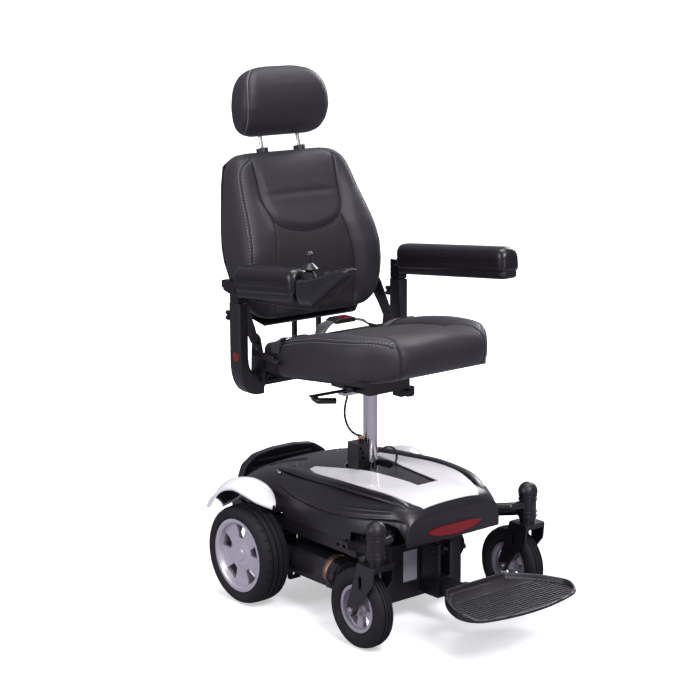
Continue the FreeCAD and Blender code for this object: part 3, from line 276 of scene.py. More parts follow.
def tyre_rubber():
    t = Shader("tyre_rubber")
    color = t.drift(t.noise(scale=18, detail=5, rough=0.65),
                    (0.0050, 0.0044, 0.0060), (0.0105, 0.0095, 0.0125))
    dust = t.remap(t.noise(scale=7, detail=5, rough=0.7), low=0.55, high=0.8, to_high=0.35)
    color = t.mix(dust, color, (0.034, 0.032, 0.035))
    rough = t.plus(0.58, t.noise(scale=90, detail=3, rough=0.6), times=0.22)
    height = t.plus(t.noise(scale=1200, detail=3, rough=0.6),
                    t.noise(scale=120, detail=3, rough=0.6), times=0.5)
    normal = t.bump(height, strength=0.4, distance=0.0003, normal=t.bevel(radius=0.0008))
    t.finish(color, rough, normal, spec=0.35)


def lens(name, color):
    """Prismatic reflector: a regular grid of small cells under a smooth clear face."""
    t = Shader(name)
    cells_per_metre = 330
    cell = t.voronoi(cells_per_metre, feature="F1", randomness=0.0)
    color_out = t.mix(t.remap(cell, low=0.0, high=0.0022 * cells_per_metre),
                      tint(color, 1.5), tint(color, 0.55))
    normal = t.bump(cell, strength=0.5, distance=0.0006, normal=t.bevel(radius=0.001))
    t.finish(color_out, 0.25, normal, coat=0.35, coat_rough=0.12, spec=0.3)


def leather_layer(t):
    """Colour, roughness and height of artificial leather with a warped pebble grain."""
    color = (0.0165, 0.0132, 0.0215)
    warp = t.add("ShaderNodeCombineXYZ", {
        axis: t.noise(scale=scale, detail=2, rough=0.5)
        for axis, scale in enumerate((90, 95, 85))}).outputs[0]
    small = t.add("ShaderNodeVectorMath", {0: warp, "Scale": 0.004}, operation="SCALE")
    warped = t.add("ShaderNodeVectorMath", {0: t.coords, 1: small.outputs[0]}, operation="ADD")
    grain = t.remap(t.voronoi(scale=620, coords=warped.outputs[0]), low=0.0, high=0.22)
    height = t.plus(grain, t.noise(scale=2600, detail=2, rough=0.6), times=0.35)
    color_out = t.drift(t.noise(scale=7, detail=4, rough=0.6),
                        tint(color, 0.90), tint(color, 1.10))
    # painted shade: the colour darkens in the valleys between the grain pebbles
    crease_shade = t.math("MULTIPLY", t.invert(grain), 0.35)
    color_out = t.mix(crease_shade, color_out, tint(color, 0.55))
    rough = t.plus(0.40, t.noise(scale=35, detail=3, rough=0.6), times=0.14)
    rough = t.plus(rough, t.invert(grain), times=0.12)
    return color_out, rough, height


def knit_layer(t, second_axis):
    """Colour, roughness and height of spacer fabric: rows of dark eyelets in a soft ground."""
    color = (0.0115, 0.0095, 0.0145)
    frequency = 2 * math.pi / 0.0021
    axes = t.add("ShaderNodeSeparateXYZ", {0: t.coords}).outputs
    u = t.math("MULTIPLY", axes[0], frequency)
    v = t.math("MULTIPLY", axes[second_axis], frequency)
    diagonals = [t.math("SINE", t.math(operation, u, v)) for operation in ("ADD", "SUBTRACT")]
    eyelet = t.remap(t.math("MULTIPLY", *diagonals), low=-0.9, high=0.8)
    height = t.plus(eyelet, t.noise(scale=1900, detail=2, rough=0.6), times=0.4)
    color_out = t.mix(eyelet, tint(color, 0.62), tint(color, 1.12))
    patches = t.remap(t.noise(scale=8, detail=4, rough=0.6), low=0.3, high=0.7, to_high=0.4)
    color_out = t.mix(patches, color_out, tint(color, 0.8))
    return color_out, t.plus(0.62, eyelet, times=0.12), height


def leather(name, knit_axis=None):
    """Leather; with knit_axis, knit fabric in x and that axis where "panel" is positive."""
    t = Shader(name)
    color, rough, height = leather_layer(t)
    if knit_axis is not None:
        knit_color, knit_rough, knit_height = knit_layer(t, knit_axis)
        panel = t.add("ShaderNodeAttribute", attribute_name="panel").outputs["Fac"]
        inside = t.remap(panel, low=-0.0003, high=0.0003)
        color = t.mix(inside, color, knit_color)
        rough = t.mix_value(inside, rough, knit_rough)
        height = t.mix_value(inside, height, knit_height)
    normal = t.bump(height, strength=0.32, distance=0.00035)
    t.finish(color, rough, normal, spec=0.44, sheen=0.035, coat=0.06, coat_rough=0.42)


def webbing():
    """Woven strap: one thread pitch along x + z, another along y."""
    t = Shader("webbing")
    x, y, z = t.add("ShaderNodeSeparateXYZ", {0: t.coords}).outputs
    along = t.math("SINE", t.math("MULTIPLY", t.math("ADD", x, z), 2 * math.pi / 0.0022))
    across = t.math("SINE", t.math("MULTIPLY", y, 2 * math.pi / 0.0040))
    weave = t.math("MULTIPLY", along, across)
    color = t.mix(t.remap(weave, low=-1, high=1), (0.006, 0.0055, 0.007), (0.015, 0.014, 0.017))
    height = t.plus(weave, t.noise(scale=1800, detail=2), times=0.5)
    t.finish(color, 0.7, t.bump(height, strength=0.5, distance=0.0004), sheen=0.25)


def thread(name, color):
    t = Shader(name)
    twist = t.add("ShaderNodeTexWave", {"Vector": t.coords, "Scale": 900, "Distortion": 0.6},
                  bands_direction="DIAGONAL").outputs["Fac"]
    color_out = t.mix(twist, tint(color, 0.72), tint(color, 1.1))
    t.finish(color_out, 0.6, t.bump(twist, strength=0.5, distance=0.0002), sheen=0.2)


def bellows_rubber():
    t = Shader("bellows_rubber")
    color = t.drift(t.noise(scale=30, detail=4, rough=0.6),
                    (0.007, 0.0065, 0.008), (0.014, 0.013, 0.0155))
    rough = t.plus(0.45, t.noise(scale=200, detail=3), times=0.2)
    normal = t.bump(t.noise(scale=1300, detail=3, rough=0.6), strength=0.25, distance=0.0002,
                    normal=t.bevel(radius=0.0006))
    t.finish(color, rough, normal, spec=0.4)


hard_surfaces()
chrome()
silver("rim_silver", (0.64, 0.61, 0.69), rough=0.36)
silver("caster_silver", (0.52, 0.495, 0.56), rough=0.36)
tyre_rubber()
lens("red_lens", (0.26, 0.0018, 0.006))
lens("amber_lens", (0.17, 0.016, 0.008))
leather("leatherette")
leather("leatherette_back", knit_axis=2)
leather("leatherette_seat", knit_axis=1)
webbing()
thread("thread_light", (0.24, 0.225, 0.27))
thread("thread_dark", (0.011, 0.010, 0.0125))
thread("piping_grey", (0.15, 0.14, 0.17))
bellows_rubber()

# CAD pieces by material; all others are black_paint
PIECES = {
    "tyre_rubber": "rear_tyre_R rear_tyre_L caster_tyre_R caster_tyre_L",
    "rim_silver": "rear_rim_R rear_rim_L",
    "caster_silver": "caster_rim_R caster_rim_L",
    "steel": "caster_axle_R caster_axle_L",
    "black_plastic": "caster_caps battery_box connector_box headrest_guides arm_cover_R "
                     "arm_cover_L arm_knob_R arm_knob_L footplate belt_buckle speed_knob "
                     "power_key",
    "battery_grey": "batteries",
    "motor_paint": "drive_unit_R drive_unit_L",
    "shroud_plastic": "main_shroud rear_guard",
    "white_gloss": "shroud_panel fender_R fender_L",
    "red_lens": "front_reflector buckle_button",
    "amber_lens": "side_reflectors",
    "chrome": "seat_post headrest_rods",
    "cable": "lift_cable",
    "leatherette": "seat_cushion back_cushion headrest_cushion",
    "webbing": "lap_belt",
    "pad_pu": "arm_rest_R arm_rest_L",
    "pod_plastic": "joystick_pod joystick_stick",
}
MATERIAL_OF = {piece: name for name, pieces in PIECES.items() for piece in pieces.split()}
for name, ob in NODES.items():
    ob.data.materials.clear()
    ob.data.materials.append(MATERIALS[MATERIAL_OF.get(name, "black_paint")])


# ============================================================== mesh tools
def shade_smooth(ob):
    for polygon in ob.data.polygons:
        polygon.use_smooth = True


def mesh_object(name, verts, faces, material):
    mesh = bpy.data.meshes.new(name)
    mesh.from_pydata([tuple(map(float, v)) for v in verts], [],
                     [tuple(map(int, f)) for f in faces])
    mesh.validate()
    mesh.update()
    mesh.materials.append(MATERIALS[material])
    ob = bpy.data.objects.new(name, mesh)
    shade_smooth(ob)
    scene.collection.objects.link(ob)
    return ob


def attach(ob, part, replaces=None):
    if replaces:
        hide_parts(replaces)
    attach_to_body(ob, part)


def bake(ob):
    """Replaces the mesh with its evaluated one, so that no modifier is left."""
    bpy.context.view_layer.update()
    graph = bpy.context.evaluated_depsgraph_get()
    mesh = bpy.data.meshes.new_from_object(ob.evaluated_get(graph))
    ob.modifiers.clear()
    ob.data = mesh


def read_vectors(items, field):
    values = np.zeros(len(items) * 3)
    items.foreach_get(field, values)
    return values.reshape(-1, 3)


def surface(ob):
    """Vertex positions and vertex normals."""
    return read_vectors(ob.data.vertices, "co"), read_vectors(ob.data.vertex_normals, "vector")


def set_positions(ob, co):
    ob.data.vertices.foreach_set("co", co.ravel())
    ob.data.update()


def smooth_mesh(ob, times, factor=0.5):
    """Moves each vertex towards the mean of its neighbours."""
    edges = np.zeros(len(ob.data.edges) * 2, int)
    ob.data.edges.foreach_get("vertices", edges)
    first, second = edges.reshape(-1, 2).T
    co = read_vectors(ob.data.vertices, "co")
    count = len(co)
    degree = np.bincount(edges, minlength=count).astype(float)[:, None]
    for _ in range(times):
        total = np.zeros_like(co)
        for k in range(3):
            total[:, k] = (np.bincount(first, co[second, k], count)
                           + np.bincount(second, co[first, k], count))
        co = co + (total / np.maximum(degree, 1) - co) * factor
    set_positions(ob, co)


def remesh(ob, voxel):
    modifier = ob.modifiers.new("r", "REMESH")
    modifier.mode = "VOXEL"
    modifier.voxel_size = voxel
    bake(ob)
    shade_smooth(ob)


def subdivide(ob):
    modifier = ob.modifiers.new("s", "SUBSURF")
    modifier.levels = modifier.render_levels = 1
    bake(ob)
    shade_smooth(ob)


def thicken(ob, thickness, offset):
    modifier = ob.modifiers.new("wall", "SOLIDIFY")
    modifier.thickness, modifier.offset = thickness, offset
    bake(ob)


def moulded_body(name, skin, material, voxel, smoothing):
    """Solid from (verts, faces), remeshed evenly and smoothed."""
    ob = mesh_object(name, *skin, material)
    remesh(ob, voxel)
    smooth_mesh(ob, smoothing)
    return ob


def smoothstep(a, b, x):
    t = np.clip((x - a) / (b - a), 0, 1)
    return t * t * (3 - 2 * t)


def bell(distance, width):
    return np.exp(-(distance / width) ** 2)


def end_round(distance, radius):
    """Quarter-circle factor, from 0 at an end to 1 at radius away from it."""
    distance = min(max(distance, 0.0), radius)
    return math.sqrt(max(0.0, 1 - (1 - distance / radius) ** 2))


def unit(vectors):
    return vectors / np.maximum(np.linalg.norm(vectors, axis=-1, keepdims=True), 1e-9)


# ---- lines
def lengths_along(points):
    return np.r_[0, np.cumsum(np.linalg.norm(np.diff(points, axis=0), axis=1))]


def at_lengths(values, lengths, wanted):
    return np.stack([np.interp(wanted, lengths, column) for column in values.T], 1)


def spread_points(points, count):
    lengths = lengths_along(points)
    return at_lengths(points, lengths, np.linspace(0, lengths[-1], count))


def resample(points, step):
    points = np.asarray(points, float)
    return spread_points(points, max(2, int(round(lengths_along(points)[-1] / step)) + 1))


def spline(points, step):
    """Catmull-Rom curve through the points, resampled."""
    p = np.asarray(points, float)
    last = len(p) - 1
    out = []
    for i in range(last):
        a, b, c, d = p[max(i - 1, 0)], p[i], p[i + 1], p[min(i + 2, last)]
        for t in np.linspace(0, 1, 12, endpoint=False):
            out.append(0.5 * (2 * b + (c - a) * t + (2 * a - 5 * b + 4 * c - d) * t * t
                              + (3 * b - a - 3 * c + d) * t ** 3))
    out.append(p[-1])
    return resample(out, step)


def mirrored(line):
    return np.asarray(line) * (-1, 1, 1)


def whole_line(half):
    """A line that ends on the middle plane, carried on as its mirror image."""
    return np.vstack([half, mirrored(half[:-1])[::-1]])


def both_sides(line):
    return [axle_line(line), axle_line(mirrored(line))]


def lay_on(points, ob, direction=None):
    """Lays a line on a surface, by rays along direction or else at the nearest point."""
    tree = BVHTree.FromPolygons([v.co[:] for v in ob.data.vertices],
                                [p.vertices[:] for p in ob.data.polygons])
    places, normals = [], []
    for point in points:
        place = None
        if direction is not None:
            ray = Vector(direction)
            place, normal, _, _ = tree.ray_cast(Vector(point) - ray * 0.4, ray)
        if place is None:
            place, normal, _, _ = tree.find_nearest(Vector(point))
        places.append(place[:])
        normals.append(normal[:])
    return np.array(places), np.array(normals)


def relax(points, times):
    p = points.copy()
    for _ in range(times):
        p[1:-1] = p[1:-1] * 0.5 + (p[:-2] + p[2:]) * 0.25
    return p


def lay_lines(lines, ob, times, direction=None):
    """Each line laid on the surface and relaxed."""
    return [relax(lay_on(line, ob, direction)[0], times) for line in lines]


def line_frame(line, ob):
    """The line on the surface, with unit vectors that lie in the surface across it."""
    points, normals = lay_on(line, ob)
    return points, np.cross(unit(np.gradient(points, axis=0)), normals)


def rows_beside(lines, ob, offset, trim):
    """Two rows per line, one on each side, with trim points cut from its ends."""
    rows = []
    for line in lines:
        points, across = line_frame(line, ob)
        rows += [points + across * offset, points - across * offset]
    return [row[trim[0]:-trim[1]] for row in rows]


def line_distance(co, lines):
    points = np.vstack([resample(line, 0.0015) for line in lines])
    tree = KDTree(len(points))
    for i, point in enumerate(points):
        tree.insert(point, i)
    tree.balance()
    return np.array([tree.find(v)[2] for v in co])


def inside_distance(u, v, outline):
    """Signed distance to a closed flat outline, positive inside."""
    outline = np.asarray(outline, float)
    inside = np.zeros(len(u), bool)
    nearest = np.full(len(u), 1e9)
    for a, b in zip(outline, np.roll(outline, -1, 0)):
        d = b - a
        t = np.clip(((u - a[0]) * d[0] + (v - a[1]) * d[1]) / max(d @ d, 1e-12), 0, 1)
        nearest = np.minimum(nearest, np.hypot(u - a[0] - t * d[0], v - a[1] - t * d[1]))
        spans = (a[1] > v) != (b[1] > v)
        crossing = a[0] + (v - a[1]) * d[0] / (d[1] if abs(d[1]) > 1e-12 else 1e-12)
        inside ^= spans & (u < crossing)
    return np.where(inside, nearest, -nearest)


# ---- skins
def tube_data(points, radius, sides=8):
    """Capped tube; radius is one value or one for each point."""
    centres = np.asarray(points, float)
    count = len(centres)
    along = unit(np.gradient(centres, axis=0))
    start = np.array([0, 0, 1.0]) if abs(along[0][2]) < 0.9 else np.array([1.0, 0, 0])
    a = unit(np.cross(along[0], start))
    radii = np.broadcast_to(np.asarray(radius, float), (count,))
    verts, faces = [], []
    for centre, tangent, r in zip(centres, along, radii):
        a = unit(a - tangent * (a @ tangent))
        b = np.cross(tangent, a)
        for k in range(sides):
            angle = 2 * math.pi * k / sides
            verts.append(centre + r * (math.cos(angle) * a + math.sin(angle) * b))
    for i in range(count - 1):
        for k in range(sides):
            k2 = (k + 1) % sides
            faces.append((i * sides + k, (i + 1) * sides + k,
                          (i + 1) * sides + k2, i * sides + k2))
    faces.append(tuple(range(sides)))
    faces.append(tuple((count - 1) * sides + k for k in reversed(range(sides))))
    return verts, faces


def join_data(parts):
    verts, faces = [], []
    for part_verts, part_faces in parts:
        start = len(verts)
        verts += part_verts
        faces += [tuple(i + start for i in face) for face in part_faces]
    return verts, faces


def tubes(name, lines, radius, material, sides=8):
    skins = [tube_data(line, radius, sides) for line in lines]
    return mesh_object(name, *join_data(skins), material)


def stitches(name, ob, lines, material, length, gap, radius):
    """Rows of separate arched thread stitches lying on the surface of ob."""
    arch = np.array([-0.9, 0.45, 0.75, 0.45, -0.9]) * radius
    radii = [radius * 0.7, radius, radius, radius, radius * 0.7]
    parts = []
    for line in lines:
        points, normals = lay_on(resample(line, 0.002), ob)
        lengths = lengths_along(points)
        start = 0.0
        while start + length < lengths[-1]:
            wanted = np.linspace(start, start + length, 5)
            lift = at_lengths(normals, lengths, wanted) * arch[:, None]
            parts.append(tube_data(at_lengths(points, lengths, wanted) + lift, radii, 6))
            start += length + gap
    return mesh_object(name, *join_data(parts), material)


def rounded_rectangle(x0, x1, y0, y1, radii, corner_steps, side_steps):
    """Outline; radii for the corners (x1, y0), (x1, y1), (x0, y1), (x0, y0)."""
    places = [(x1, y0, -90), (x1, y1, 0), (x0, y1, 90), (x0, y0, 180)]
    corners = []
    for (x, y, start), r in zip(places, radii):
        centre_x = x - r if x == x1 else x + r
        centre_y = y + r if y == y0 else y - r
        angles = [math.radians(start + 90 * i / corner_steps) for i in range(corner_steps + 1)]
        corners.append([(centre_x + r * math.cos(a), centre_y + r * math.sin(a))
                        for a in angles])
    outline = []
    for i, corner in enumerate(corners):
        (xa, ya), (xb, yb) = corner[-1], corners[(i + 1) % 4][0]
        outline += corner + [(xa + (xb - xa) * j / side_steps, ya + (yb - ya) * j / side_steps)
                             for j in range(1, side_steps)]
    return outline


def section(half_width, low, high, low_radius, high_radius, corner_steps, side_steps):
    """Rounded rectangle that is symmetric in x."""
    return rounded_rectangle(-half_width, half_width, low, high,
                             (low_radius, high_radius, high_radius, low_radius),
                             corner_steps, side_steps)


def level_ring(z, outline):
    return [from_axle(x, y, z) for x, y in outline]


def upright_ring(y, outline):
    return [from_axle(x, y, z) for x, z in outline]


def loft(rings, caps=True):
    """Skin over closed rings of equal length, with a fan at each end."""
    n = len(rings[0])
    verts = [tuple(point) for ring in rings for point in ring]
    faces = []
    for i in range(len(rings) - 1):
        for k in range(n):
            k2 = (k + 1) % n
            faces.append((i * n + k, i * n + k2, (i + 1) * n + k2, (i + 1) * n + k))
    if caps:
        last = len(rings) - 1
        for i in (0, last):
            centre = len(verts)
            verts.append(tuple(np.mean(np.asarray(rings[i], float), axis=0)))
            for k in range(n):
                a, b = i * n + k, i * n + (k + 1) % n
                faces.append((centre, a, b) if i == last else (centre, b, a))
    return verts, faces


def grid_faces(rows, columns, flip):
    faces = []
    for i in range(rows - 1):
        for k in range(columns - 1):
            a = i * columns + k
            face = (a, a + 1, a + columns + 1, a + columns)
            faces.append(face[::-1] if flip else face)
    return faces


def at_stations(table, places):
    """The other columns of a station table, read at places along its first column."""
    first, *rest = np.array(table).T
    turn = 1 if first[-1] > first[0] else -1
    return [np.interp(turn * places, turn * first, column) for column in rest]


def stations(table, count):
    """Rows read from a station table at places spread evenly over its entries."""
    first = np.array(table)[:, 0]
    places = np.interp(np.linspace(0, 1, count), np.linspace(0, 1, len(first)), first)
    return zip(places, *at_stations(table, places))


# ---- upholstery
def inflate(ob, pin, cap, pressure=4.0, frames=13):
    """Swells a pad with cloth pressure; points move at most cap, and pinned ones stay."""
    rest, _ = surface(ob)
    modifier = ob.modifiers.new("cloth", "CLOTH")
    cloth = modifier.settings
    cloth.quality = 5
    cloth.mass = 0.3
    cloth.tension_stiffness = cloth.compression_stiffness = 12
    cloth.shear_stiffness = 6
    cloth.bending_stiffness = 2.5
    cloth.use_pressure = True
    cloth.uniform_pressure_force = pressure
    cloth.effector_weights.gravity = 0
    group = ob.vertex_groups.new(name="pin")
    for level in range(1, 11):
        chosen = np.nonzero((pin > (level - 0.5) / 10) & (pin <= (level + 0.5) / 10))[0]
        if len(chosen):
            group.add([int(i) for i in chosen], level / 10.0, "REPLACE")
    cloth.vertex_group_mass = "pin"
    cloth.pin_stiffness = 1.0
    modifier.point_cache.frame_start, modifier.point_cache.frame_end = 1, frames
    scene.frame_start, scene.frame_end = 1, frames
    for frame in range(1, frames + 1):
        scene.frame_set(frame)
    graph = bpy.context.evaluated_depsgraph_get()
    swollen, _ = surface(ob.evaluated_get(graph))
    ob.modifiers.clear()
    ob.vertex_groups.clear()
    scene.frame_set(1)
    move = swollen - rest
    size = np.linalg.norm(move, axis=1)
    scale = np.where(size > 1e-9, cap * np.tanh(size / cap) / np.maximum(size, 1e-9), 0)
    set_positions(ob, rest + move * scale[:, None])


def groove(ob, lines, depth, width):
    """Presses sewn lines into the surface; returns the distances to them."""
    co, no = surface(ob)
    distance = line_distance(co, lines)
    set_positions(ob, co - no * (depth * bell(distance, width))[:, None])
    return distance


def mark_panel(ob, distance):
    """Writes the signed distance to the knit panel, positive inside it."""
    attribute = ob.data.attributes.new("panel", "FLOAT", "POINT")
    attribute.data.foreach_set("value", np.asarray(distance, np.float32))


# ============================================================== backrest
# z, half width, front y, rear y
BACK_STATIONS = [
    (0.722, 0.130, 0.062, 0.078), (0.730, 0.176, 0.048, 0.088), (0.748, 0.203, 0.043, 0.099),
    (0.778, 0.2185, 0.036, 0.112), (0.81, 0.2240, 0.033, 0.127), (0.85, 0.2265, 0.032, 0.151),
    (0.90, 0.2255, 0.036, 0.172), (0.95, 0.2195, 0.052, 0.186), (1.00, 0.2095, 0.077, 0.196),
    (1.04, 0.2025, 0.101, 0.203), (1.075, 0.1965, 0.118, 0.208), (1.10, 0.1910, 0.130, 0.211),
    (1.12, 0.1830, 0.139, 0.212), (1.134, 0.171, 0.149, 0.210), (1.142, 0.152, 0.161, 0.206),
    (1.145, 0.125, 0.176, 0.198),
]
# z, half width of the sunk middle panels
BACK_MIDDLE = [(0.74, 0.134), (0.79, 0.133), (0.85, 0.132), (0.90, 0.126), (0.96, 0.113),
               (1.03, 0.129), (1.13, 0.134)]
# x, y, z of the right half of the seam round the upper panel
BIB_HALF = [(-0.1345, 0.13, 1.130), (-0.1325, 0.11, 1.080), (-0.1295, 0.088, 1.028),
            (-0.121, 0.083, 0.999), (-0.103, 0.083, 0.972), (-0.068, 0.083, 0.9545),
            (0, 0.083, 0.945)]
# x, y, z down the right edge of the lower panel
LOW_SEAM = [(-0.112, 0.08, 0.982), (-0.1205, 0.07, 0.930), (-0.1275, 0.055, 0.885),
            (-0.1315, 0.046, 0.845), (-0.1325, 0.046, 0.795), (-0.130, 0.05, 0.745),
            (-0.124, 0.055, 0.722)]
# x, y, z down the outer edge of the right bolster
BOLSTER_EDGE = [(-0.118, 0.165, 1.1435), (-0.146, 0.140, 1.1375), (-0.166, 0.134, 1.128),
                (-0.185, 0.132, 1.108), (-0.1945, 0.112, 1.060), (-0.2035, 0.076, 0.99),
                (-0.2125, 0.050, 0.93), (-0.2175, 0.040, 0.87), (-0.217, 0.038, 0.80),
                (-0.206, 0.045, 0.745), (-0.188, 0.055, 0.722)]


def build_back():
    rings = []
    for z, width, front, rear in stations(BACK_STATIONS, 46):
        depth = rear - front
        front_radius = min(0.030, depth * 0.45, width * 0.5)
        rear_radius = min(0.020, depth * 0.4, width * 0.5)
        rings.append(level_ring(z, section(width, front, rear, front_radius, rear_radius, 7, 22)))
    ob = moulded_body("back_upholstery", loft(rings), "leatherette_back",
                      voxel=0.005, smoothing=14)
    # the middle panels lie deeper than the side bolsters
    co, no = surface(ob)
    z = co[:, 2]
    edge = at_stations(BACK_MIDDLE, z)[0]
    middle = 1 - smoothstep(edge - 0.004, edge + 0.034, np.abs(co[:, 0]))
    depth = 0.017 * smoothstep(0.715, 0.78, z) * (1 - 0.9 * smoothstep(1.02, 1.13, z))
    co[:, 1] += smoothstep(0.1, 0.6, -no[:, 1]) * middle * depth
    set_positions(ob, co)
    smooth_mesh(ob, 3)

    rearward = (0, 1, 0)
    bib, low, side = (spline(line, 0.003)
                      for line in (whole_line(BIB_HALF), LOW_SEAM, BOLSTER_EDGE))
    seams = lay_lines([axle_line(bib), *both_sides(low)], ob, 3, rearward)
    rims = lay_lines(both_sides(side), ob, 3)
    pin = np.maximum(bell(line_distance(co, seams + rims), 0.010),
                     smoothstep(0.3, 0.8, no[:, 1]))
    inflate(ob, pin, cap=0.012)
    smooth_mesh(ob, 2)

    # the upper panel stands forward of the one below it
    co, no = surface(ob)
    bib_outline = np.vstack([bib[:, ::2], [(0.1345, 1.20), (-0.1345, 1.20)]])
    inside = smoothstep(0.0, 0.022, inside_distance(co[:, 0], co[:, 2], bib_outline))
    fade = 1 - 0.7 * smoothstep(1.06, 1.13, co[:, 2])
    co[:, 1] -= smoothstep(0.0, 0.5, -no[:, 1]) * inside * 0.007 * fade
    set_positions(ob, co)
    subdivide(ob)

    seams = lay_lines(seams, ob, 2, rearward)
    rims = lay_lines(rims, ob, 2)
    groove(ob, seams, depth=0.0030, width=0.0038)
    groove(ob, rims, depth=0.0018, width=0.0030)
    co, no = surface(ob)
    panel = np.vstack([low[::-1, ::2], bib[bib[:, 2] < 0.985][:, ::2], mirrored(low)[:, ::2],
                       [(0.12, 0.69), (-0.12, 0.69)]])
    distance = inside_distance(co[:, 0], co[:, 2], panel)
    mark_panel(ob, np.where(no[:, 1] < 0.2, distance, -0.01))
    attach(ob, "backrest", replaces="back_cushion")

    cord = tubes("back_seam_cord", [line + (0, 0.0006, 0) for line in seams], 0.0011,
                 "thread_dark")
    attach(cord, "backrest")
    rows = rows_beside(rims, ob, offset=0.0050, trim=(8, 26))
    stitching = stitches("back_stitching", ob, rows, "thread_light",
                         length=0.0056, gap=0.0032, radius=0.00072)
    attach(stitching, "backrest")
    attach(tubes("back_edge_cord", rims, 0.0009, "thread_dark"), "backrest")


# ============================================================== headrest
# z, half width, front y, rear y
HEAD_STATIONS = [
    (1.1835, 0.095, 0.203, 0.220), (1.190, 0.118, 0.192, 0.227), (1.203, 0.131, 0.176, 0.232),
    (1.225, 0.139, 0.160, 0.2345), (1.262, 0.1425, 0.151, 0.2355), (1.30, 0.139, 0.154, 0.236),
    (1.325, 0.131, 0.161, 0.2345), (1.345, 0.117, 0.173, 0.231), (1.358, 0.095, 0.186, 0.227),
    (1.3645, 0.068, 0.196, 0.222), (1.3675, 0.040, 0.205, 0.216),
]
# x, y, z up the right seam
HEAD_SEAM = [(-0.112, 0.214, 1.1865), (-0.127, 0.185, 1.196), (-0.137, 0.162, 1.222),
             (-0.1405, 0.154, 1.264), (-0.135, 0.162, 1.306), (-0.122, 0.178, 1.336),
             (-0.100, 0.196, 1.354), (-0.085, 0.212, 1.361)]


def build_head():
    rings = []
    for z, width, front, rear in stations(HEAD_STATIONS, 36):
        depth = rear - front
        front_radius = min(0.030, depth * 0.46, width * 0.6)
        rear_radius = min(0.014, depth * 0.4)
        rings.append(level_ring(z, section(width, front, rear, front_radius, rear_radius, 7, 18)))
    ob = moulded_body("head_pad", loft(rings), "leatherette", voxel=0.004, smoothing=10)
    co, no = surface(ob)
    rims = lay_lines(both_sides(spline(HEAD_SEAM, 0.003)), ob, 3)
    pin = np.maximum(bell(line_distance(co, rims), 0.008), 0.9 * smoothstep(0.4, 0.9, no[:, 1]))
    inflate(ob, pin, cap=0.008)
    smooth_mesh(ob, 2)
    subdivide(ob)
    rims = lay_lines(rims, ob, 2)
    groove(ob, rims, depth=0.0020, width=0.0032)
    attach(ob, "headrest", replaces="headrest_cushion")
    attach(tubes("head_piping", rims, 0.0013, "piping_grey"), "headrest")
    # one row of stitches on the side of each seam that faces the middle
    rows = []
    for line in rims:
        points, across = line_frame(line, ob)
        if across[len(across) // 2][0] * line[len(line) // 2][0] > 0:
            across = -across
        rows.append((points + across * 0.0050)[6:-6])
    stitching = stitches("head_stitching", ob, rows, "thread_dark",
                         length=0.0048, gap=0.0030, radius=0.00055)
    attach(stitching, "headrest")


# ============================================================== seat
# y, half width, bottom z, top z
SEAT_STATIONS = [
    (-0.054, 0.205, 0.612, 0.690), (-0.058, 0.215, 0.604, 0.696), (-0.068, 0.224, 0.602, 0.700),
    (-0.10, 0.2265, 0.606, 0.709), (-0.15, 0.2265, 0.612, 0.722), (-0.21, 0.2265, 0.618, 0.733),
    (-0.27, 0.2262, 0.6235, 0.740), (-0.33, 0.2205, 0.630, 0.744), (-0.37, 0.2100, 0.634, 0.745),
    (-0.40, 0.1930, 0.638, 0.744), (-0.422, 0.1740, 0.643, 0.740), (-0.438, 0.1575, 0.649, 0.734),
    (-0.450, 0.143, 0.659, 0.724), (-0.4565, 0.128, 0.671, 0.713), (-0.459, 0.105, 0.683, 0.702),
]
# x, y, z of the right outer edge, from rear to front
SEAT_EDGE = [(-0.222, -0.062, 0.694), (-0.2235, -0.085, 0.700), (-0.2225, -0.14, 0.713),
             (-0.2215, -0.21, 0.728), (-0.2195, -0.28, 0.735), (-0.2055, -0.340, 0.737),
             (-0.187, -0.375, 0.736), (-0.164, -0.407, 0.734), (-0.147, -0.4290, 0.7285)]
# x, y, z of the right front corner seam, forward and down
SEAT_CORNER = [(-0.120, -0.350, 0.746), (-0.128, -0.395, 0.747), (-0.134, -0.428, 0.738),
               (-0.1375, -0.4440, 0.715), (-0.1380, -0.4490, 0.690), (-0.137, -0.447, 0.660),
               (-0.135, -0.440, 0.645)]
# x, y, z of the right half of the seam round the middle panel
SEAT_MIDDLE_HALF = [(-0.128, -0.030, 0.70), (-0.128, -0.15, 0.72), (-0.128, -0.27, 0.73),
                    (-0.126, -0.320, 0.74), (-0.108, -0.343, 0.745), (-0.06, -0.352, 0.745),
                    (0, -0.355, 0.745)]


